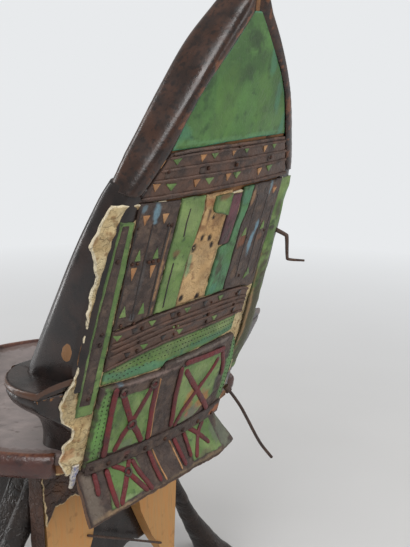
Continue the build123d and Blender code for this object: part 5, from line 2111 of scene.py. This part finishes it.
@dataclass
class Limbs:
    """Four leather-covered limbs, the webs and fork boards between them, and the side skirts."""

    shop: Workshop
    under: float = 299.0
    top_x: float = 62.0
    spread: float = 182.0
    skirt_front: float = -78.0
    skirt_rear: float = 24.0
    web_half_width: float = 117.5

    def build(self) -> None:
        """Makes all its pieces."""
        for index, (end, side) in enumerate((e, s) for e in ("rear", "front") for s in ("left", "right")):
            name = f"{end}_leg_cover_{side}"
            obj = self.shop.skin_over(
                name, f"{end}_leg_{side}", "limb", 1.9, lumps=0.7, lump_size=24.0, folds=1.6, seed=121 + index
            )
            if end == "rear":
                obj = merge_pieces(name, [obj, self._gusset(f"gusset_{side}", 1 if side == "left" else -1)])
            settle(obj, "dark_leather", name)
        for side, sign in (("left", 1), ("right", -1)):
            self._skirt(side, sign)
        for end, y, sign in (("rear", 71.4, 1), ("front", -121.4, -1)):
            self._web(end, y, sign)
        self._remnant()

    def _fall(self, shares: Sequence[tuple[float, float]], drop: float, count: int) -> np.ndarray:
        """Line down along the limbs of one side, seen from behind.

        Args:
            shares: shares of the way out to the feet and of the height.
            drop: how far below those heights it runs.
            count: how many points it has.

        Returns:
            Its points of x and z.
        """
        return smooth_line([(self.top_x + self.spread * out, self.under * up - drop) for out, up in shares], count)

    def _gusset(self, name: str, sign: int) -> bpy.types.Object:
        """Stiff leather that joins a rear limb's leather to the skirt in front of it.

        Args:
            name: name of the piece.
            sign: 1 on the left and -1 on the right.

        Returns:
            The object.
        """
        fall = self._fall(((0.0, 1.0), (0.235, 0.753), (0.473, 0.502), (0.61, 0.36), (0.70, 0.27)), 0.6, 60)
        across = np.linspace(0, 1, 18)
        t, share = np.meshgrid(np.linspace(0, 1, len(fall)), across, indexing="ij")
        rear = 60 * (1 - 0.2 * np.clip(t * 2, 0, 1))
        y = 20 + (rear - 20) * share
        x = fall[:, :1] + 9.0 - 3.5 * share + 2.0 * np.sin(math.pi * share)
        x = x + 1.4 * ripple(np.stack([y, 40 * t], -1), 13.0, 171 + sign)
        z = np.repeat(fall[:, 1:], len(across), axis=1)
        seen, hid = (np.stack([sign * (x + off), y, z], -1) for off in (0.9, -0.9))
        return shell_piece(name, seen, hid, self.shop.finish["limb"])

    def _skirt(self, side: str, sign: int) -> None:
        """Black leather stretched down between the front and rear limb of one side.

        Args:
            side: left or right.
            sign: 1 on the left and -1 on the right.
        """
        fall = self._fall(((0.06, 1.0), (0.27, 0.753), (0.53, 0.502), (0.70, 0.36), (0.79, 0.25)), 0.4, 70)
        along = np.linspace(self.skirt_front, self.skirt_rear, 46)
        y, t = np.meshgrid(along, np.linspace(0, 1, len(fall)))
        x = np.repeat(fall[:, :1], len(along), axis=1)
        z = np.repeat(fall[:, 1:], len(along), axis=1)
        places = np.stack([y, 120 * t], -1)
        slack = np.sin(math.pi * (y - self.skirt_front) / (self.skirt_rear - self.skirt_front)) * (0.3 + t)
        push = 1.5 - 2.2 * slack + 1.6 * ripple(places * [1, 0.35], 20.0, 131 + sign) * np.clip(t * 2, 0, 1)
        seen, hid = (np.stack([sign * (x + push + off), y, z], -1) for off in (1.5, -0.6))
        obj = shell_piece(f"side_skirt_{side}", seen, hid, self.shop.finish["dark"])
        settle(obj, "dark_leather", f"side_skirt_{side}")

    def _web(self, end: str, y: float, sign: int) -> None:
        """Dark leather hung behind the fork boards, with folds and a ragged foot; the dark sheet also stands in for the
        shade in the hollow under the seat.

        Args:
            end: rear or front.
            y: place of its face.
            sign: 1 where it faces rearward and -1 where it faces forward.
        """
        foot = ((-118, 128), (-75, 114), (-24, 113), (35, 116), (73, 114), (113, 126), (118, 140))
        x, t = np.meshgrid(np.linspace(-self.web_half_width, self.web_half_width, 110), np.linspace(0, 1, 60))
        low = read_table(foot, x) + 4.0 * ripple(np.stack([x, 0 * x], -1), 12.0, 141)
        z = (self.under - 0.4) * (1 - t) + low * t
        places = np.stack([x, 0.25 * z], -1)
        fold = 0.8 * ripple(places, 18.0, 142) * np.clip(3 * t, 0, 1)
        seen, hid = (np.stack([x, y + sign * (1.0 + fold + off), z], -1) for off in (0.8, -0.8))
        obj = shell_piece(f"{end}_fork_web", seen, hid, self.shop.finish["dark"])
        settle(obj, "dark_leather", f"{end}_fork_web")

    def _remnant(self) -> None:
        """Torn hide left on the rear left fork board."""
        board = CrownedFace(
            origin=(0.0, 90.3, self.under), tilt=0.0, crown_radius=1e5, crown_rise=0.0, bend_radius=None
        )
        patch = Patch(
            "fork_hide_remnant", left=((0, 118), (60, 117.5), (82, 113), (100, 115)), right=47.0, top=0.0,
            foot=((47, 72), (60, 73), (76, 68), (88, 74), (100, 70), (108, 82), (118, 96)), low=0.1, high=1.8,
            face=board, ragged=2.6, ragged_size=7.0, lumps=0.5, lump_size=9.0, curl=1.2, seed=161,
            dabs=(Dab(84, 26, 40, 12, paint(40, 30, 28), 0.7), Dab(92, 52, 14, 10, paint(112, 76, 52), 0.6)),
        )
        torn = self.shop.finish["torn"]
        length = 132
        y, v = np.meshgrid(np.linspace(70.5, 92.0, 12), np.linspace(0, length, 60))
        lift = 1.0 + 0.8 * ripple(np.stack([y, v], -1), 12.0, 162)
        z = self.under - 0.4 - v - 6.0 * np.abs(ripple(np.stack([y, 0 * y], -1), 5.0, 163)) * v / length
        edge = np.clip(1 - (length - v) / 5, 0, 1)
        seen = np.stack([118.2 + lift, y, z], -1)
        hid = np.stack([np.full_like(y, 118.1), y, z], -1)
        side = shell_piece("fork_edge_hide", seen, hid, torn, edge=edge)
        obj = merge_pieces("fork_hide_remnant", [patch.build(torn), side])
        settle(obj, "rawhide", "fork_hide_remnant")


@dataclass
class Pommel:
    """Pommel: neck, post and three-armed head under leather."""

    shop: Workshop

    def build(self) -> None:
        """Makes both covers."""
        neck = self.shop.skin_over("pommel_neck_cover", "pommel_neck", "dark", 1.9, relax=3, seed=151)
        settle(neck, "dark_leather", "pommel_neck_cover")
        head = self.shop.skin_over("pommel_cover", "pommel_post", "dark", 2.1, relax=10, lumps=0.6, seed=152)
        settle(head, "dark_leather", "pommel_cover")


@dataclass
class Thongs:
    """Bent tab at the right edge and the long stiff thong that falls from its knot."""

    shop: Workshop
    long_route: tuple[tuple[float, float, float], ...] = (
        (-119.9, 169.6, 317.5), (-130.0, 176.5, 301.0), (-141.0, 183.7, 275.0), (-151.0, 190.5, 250.0),
        (-158.8, 195.7, 234.6), (-168.0, 202.0, 220.5),
    )
    thickness: float = 4.0
    length: float = 0.113
    tab_route: tuple[tuple[float, float], ...] = (
        (0, 0), (11.5, -6.5), (13.8, -10), (14.8, -33), (17.5, -36.6), (37, -39.5),
    )
    tab_start: tuple[float, float, float] = (-141.5, 217.6, 519.6)
    tab_sideways: float = 0.83

    def build(self) -> None:
        """Makes both thongs."""
        curve = bpy.data.curves.new("long_thong", "CURVE")
        curve.dimensions = "3D"
        spline = curve.splines.new("NURBS")
        spline.points.add(len(self.long_route) - 1)
        for point, place in zip(spline.points, self.long_route):
            point.co = (*(value * MM for value in place), 1.0)
        spline.order_u = 3
        spline.use_endpoint_u = True
        spline.resolution_u = 12
        curve.bevel_depth = self.thickness / 2 * MM
        curve.bevel_resolution = 3
        curve.use_fill_caps = True
        curve.materials.append(self.shop.finish["thong"])
        cord = new_object("long_thong", curve)
        settle(cord, "thong_leather", "long_thong")
        self._tab()

    def _tab(self) -> None:
        """Flat stiff tab with two bends."""
        up = np.array([0.0, 0.0, 1.0])
        ahead = np.array([-self.tab_sideways, math.sqrt(1 - self.tab_sideways**2), 0.0])
        aside = np.cross(ahead, up)
        line = smooth_line(self.tab_route, 60)
        tangent = np.gradient(line, axis=0)
        tangent = tangent / np.linalg.norm(tangent, axis=1)[:, None]
        across = np.stack([-tangent[:, 1], tangent[:, 0]], -1)
        share = np.linspace(0, 1, len(line))
        wide = 2.6 * (1 - 0.55 * share)
        corners = []
        for side, depth in ((-1, -0.7), (1, -0.7), (1, 0.7), (-1, 0.7)):
            flat = line + across * (side * wide)[:, None] + [1.6, 1.2]
            corners.append(np.array(self.tab_start) + flat[:, :1] * ahead + flat[:, 1:] * up + depth * aside)
        obj = loft_piece("bent_thong", np.stack(corners, 1), self.shop.finish["thong"])
        settle(obj, "thong_leather", "bent_thong")


class PlainNodes:
    """CAD nodes that keep their shape and get a finish."""

    finishes: dict[str, str] = {
        "backrest_board": "carved", "backrest_neck": "carved", "seat_board_left": "carved",
        "seat_board_right": "carved", "pommel_neck": "carved", "pommel_post": "carved",
        "rear_leg_left": "carved", "rear_leg_right": "carved", "front_leg_left": "carved",
        "front_leg_right": "carved", "backrest_pegs": "wood", "pommel_peg": "wood",
        "rear_fork_board_left": "wood", "rear_fork_board_right": "wood", "front_fork_board_left": "wood",
        "front_fork_board_right": "wood", "seat_underside_hide": "rawhide", "fork_tie": "thong",
        "thong_knot": "thong",
    }

    def dress(self, shop: Workshop) -> None:
        """Gives each node its finish.

        Args:
            shop: the built finishes.
        """
        for name, finish in self.finishes.items():
            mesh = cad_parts[name].data
            mesh.materials.clear()
            mesh.materials.append(shop.finish[finish])
            log.info("%s keeps its shape, finish %s", name, finish)


@dataclass
class Studio:
    """Pale floor, soft lights and the camera at the photograph's angle."""

    camera_place: tuple[float, float, float] = (0.728, 0.7918, 0.723)
    turn: float = 52.11
    dip: float = 13.77
    lens: float = 59.96
    lit_place: tuple[float, float, float] = (0.0, 0.1, 0.5)
    # name, place, width, height and power of each lamp
    lamps: tuple[tuple[str, tuple[float, float, float], float, float, float], ...] = (
        ("key", (1.5, 0.9, 2.3), 0.8, 1.6, 30.0),
        ("window", (0.75, -2.0, 1.1), 0.4, 2.2, 20.0),
        ("fill", (-1.2, 2.2, 1.6), 1.8, 1.8, 22.0),
    )
    floor_level: float = -0.0006
    floor_radii: tuple[float, ...] = (0.0, 0.4, 0.8, 1.4, 2.2, 3.4, 5.0)
    backdrop: Colour = field(default_factory=lambda: paint(232, 234, 236))

    def build(self) -> None:
        """Makes the floor, the lights and the camera."""
        self._floor()
        self._lights()
        self._camera()

    def _floor(self) -> None:
        """Round floor that fades into the backdrop's colour."""
        turns = np.linspace(0, 2 * math.pi, 97)[:-1]
        points = [(r * math.cos(a), r * math.sin(a), self.floor_level) for r in self.floor_radii for a in turns]
        mesh = bpy.data.meshes.new("floor")
        mesh.from_pydata(points, [], grid_faces(len(self.floor_radii), len(turns), closed=True))
        mesh.update()
        obj = new_object("floor", mesh)
        if mesh.polygons[-1].normal.z < 0:
            mesh.flip_normals()
        material = bpy.data.materials.new("studio_floor")
        material.use_nodes = True
        bench = NodeBench(material.node_tree)
        where = bench.add("ShaderNodeTexCoord").outputs["Object"]
        away = bench.add("ShaderNodeVectorMath", {0: where}, operation="LENGTH").outputs["Value"]
        fade = bench.ramp(away, 0.7, 2.4)
        speckle = bench.add("ShaderNodeTexNoise", {"Vector": where, "Scale": 3.0}).outputs[0]
        colour = bench.mix(bench.ramp(speckle, 0.3, 0.7), paint(214, 214, 214), paint(218, 218, 218))
        matt = bench.add("ShaderNodeBsdfPrincipled", {"Base Color": colour, "Roughness": 0.9})
        glow = bench.add("ShaderNodeEmission", {"Color": self.backdrop, "Strength": 1.0})
        path = bench.add("ShaderNodeLightPath")
        seen = bench.math("MAXIMUM", path.outputs["Is Camera Ray"], path.outputs["Is Glossy Ray"])
        share = bench.math("MULTIPLY", fade, seen)
        mixed = bench.add("ShaderNodeMixShader", {0: share, 1: matt.outputs[0], 2: glow.outputs[0]})
        bench.add("ShaderNodeOutputMaterial", {"Surface": mixed.outputs[0]})
        mesh.materials.append(material)

    def _hang(self, name: str, data: bpy.types.ID, place: Sequence[float], aim: Vector) -> bpy.types.Object:
        """Puts a lamp or the camera in the scene.

        Args:
            name: name of the object.
            data: the lamp or camera.
            place: its place.
            aim: the direction that it looks in.

        Returns:
            The object.
        """
        obj = new_object(name, data)
        obj.location = place
        obj.rotation_euler = aim.to_track_quat("-Z", "Y").to_euler()
        return obj

    def _lights(self) -> None:
        """Soft world light and three large lamps."""
        world = bpy.data.worlds.new("studio")
        bpy.context.scene.world = world
        world.use_nodes = True
        bench = NodeBench(world.node_tree)
        light = bench.add("ShaderNodeBackground", {"Color": (1.0, 0.985, 0.965, 1.0), "Strength": 0.46})
        wall = bench.add("ShaderNodeBackground", {"Color": self.backdrop, "Strength": 1.0})
        path = bench.add("ShaderNodeLightPath")
        parts = {0: path.outputs["Is Camera Ray"], 1: light.outputs[0], 2: wall.outputs[0]}
        mixed = bench.add("ShaderNodeMixShader", parts)
        bench.add("ShaderNodeOutputWorld", {"Surface": mixed.outputs[0]})
        for name, place, width, height, power in self.lamps:
            lamp = bpy.data.lights.new(name, "AREA")
            lamp.shape = "RECTANGLE"
            lamp.size = width
            lamp.size_y = height
            lamp.energy = power
            self._hang(name, lamp, place, Vector(self.lit_place) - Vector(place))

    def _camera(self) -> None:
        """Camera at the photograph's place and angle."""
        data = bpy.data.cameras.new("camera")
        data.sensor_width = 36.0
        data.lens = self.lens
        data.clip_start = 0.05
        turn, dip = math.radians(self.turn), math.radians(self.dip)
        aim = Vector((-math.sin(turn) * math.cos(dip), -math.cos(turn) * math.cos(dip), -math.sin(dip)))
        bpy.context.scene.camera = self._hang("camera", data, self.camera_place, aim)


def main() -> None:
    """Builds the saddle's looks and the studio in order."""
    logging.basicConfig(level=logging.INFO, format="%(name)s: %(message)s")
    bpy.context.scene.view_settings.view_transform = "Standard"
    Studio().build()
    shop = Workshop()
    for part in (Thongs, Backrest, RearFace, KickedFlap, Seat, Limbs, Pommel):
        part(shop).build()
    PlainNodes().dress(shop)


if __name__ == "__main__":
    main()
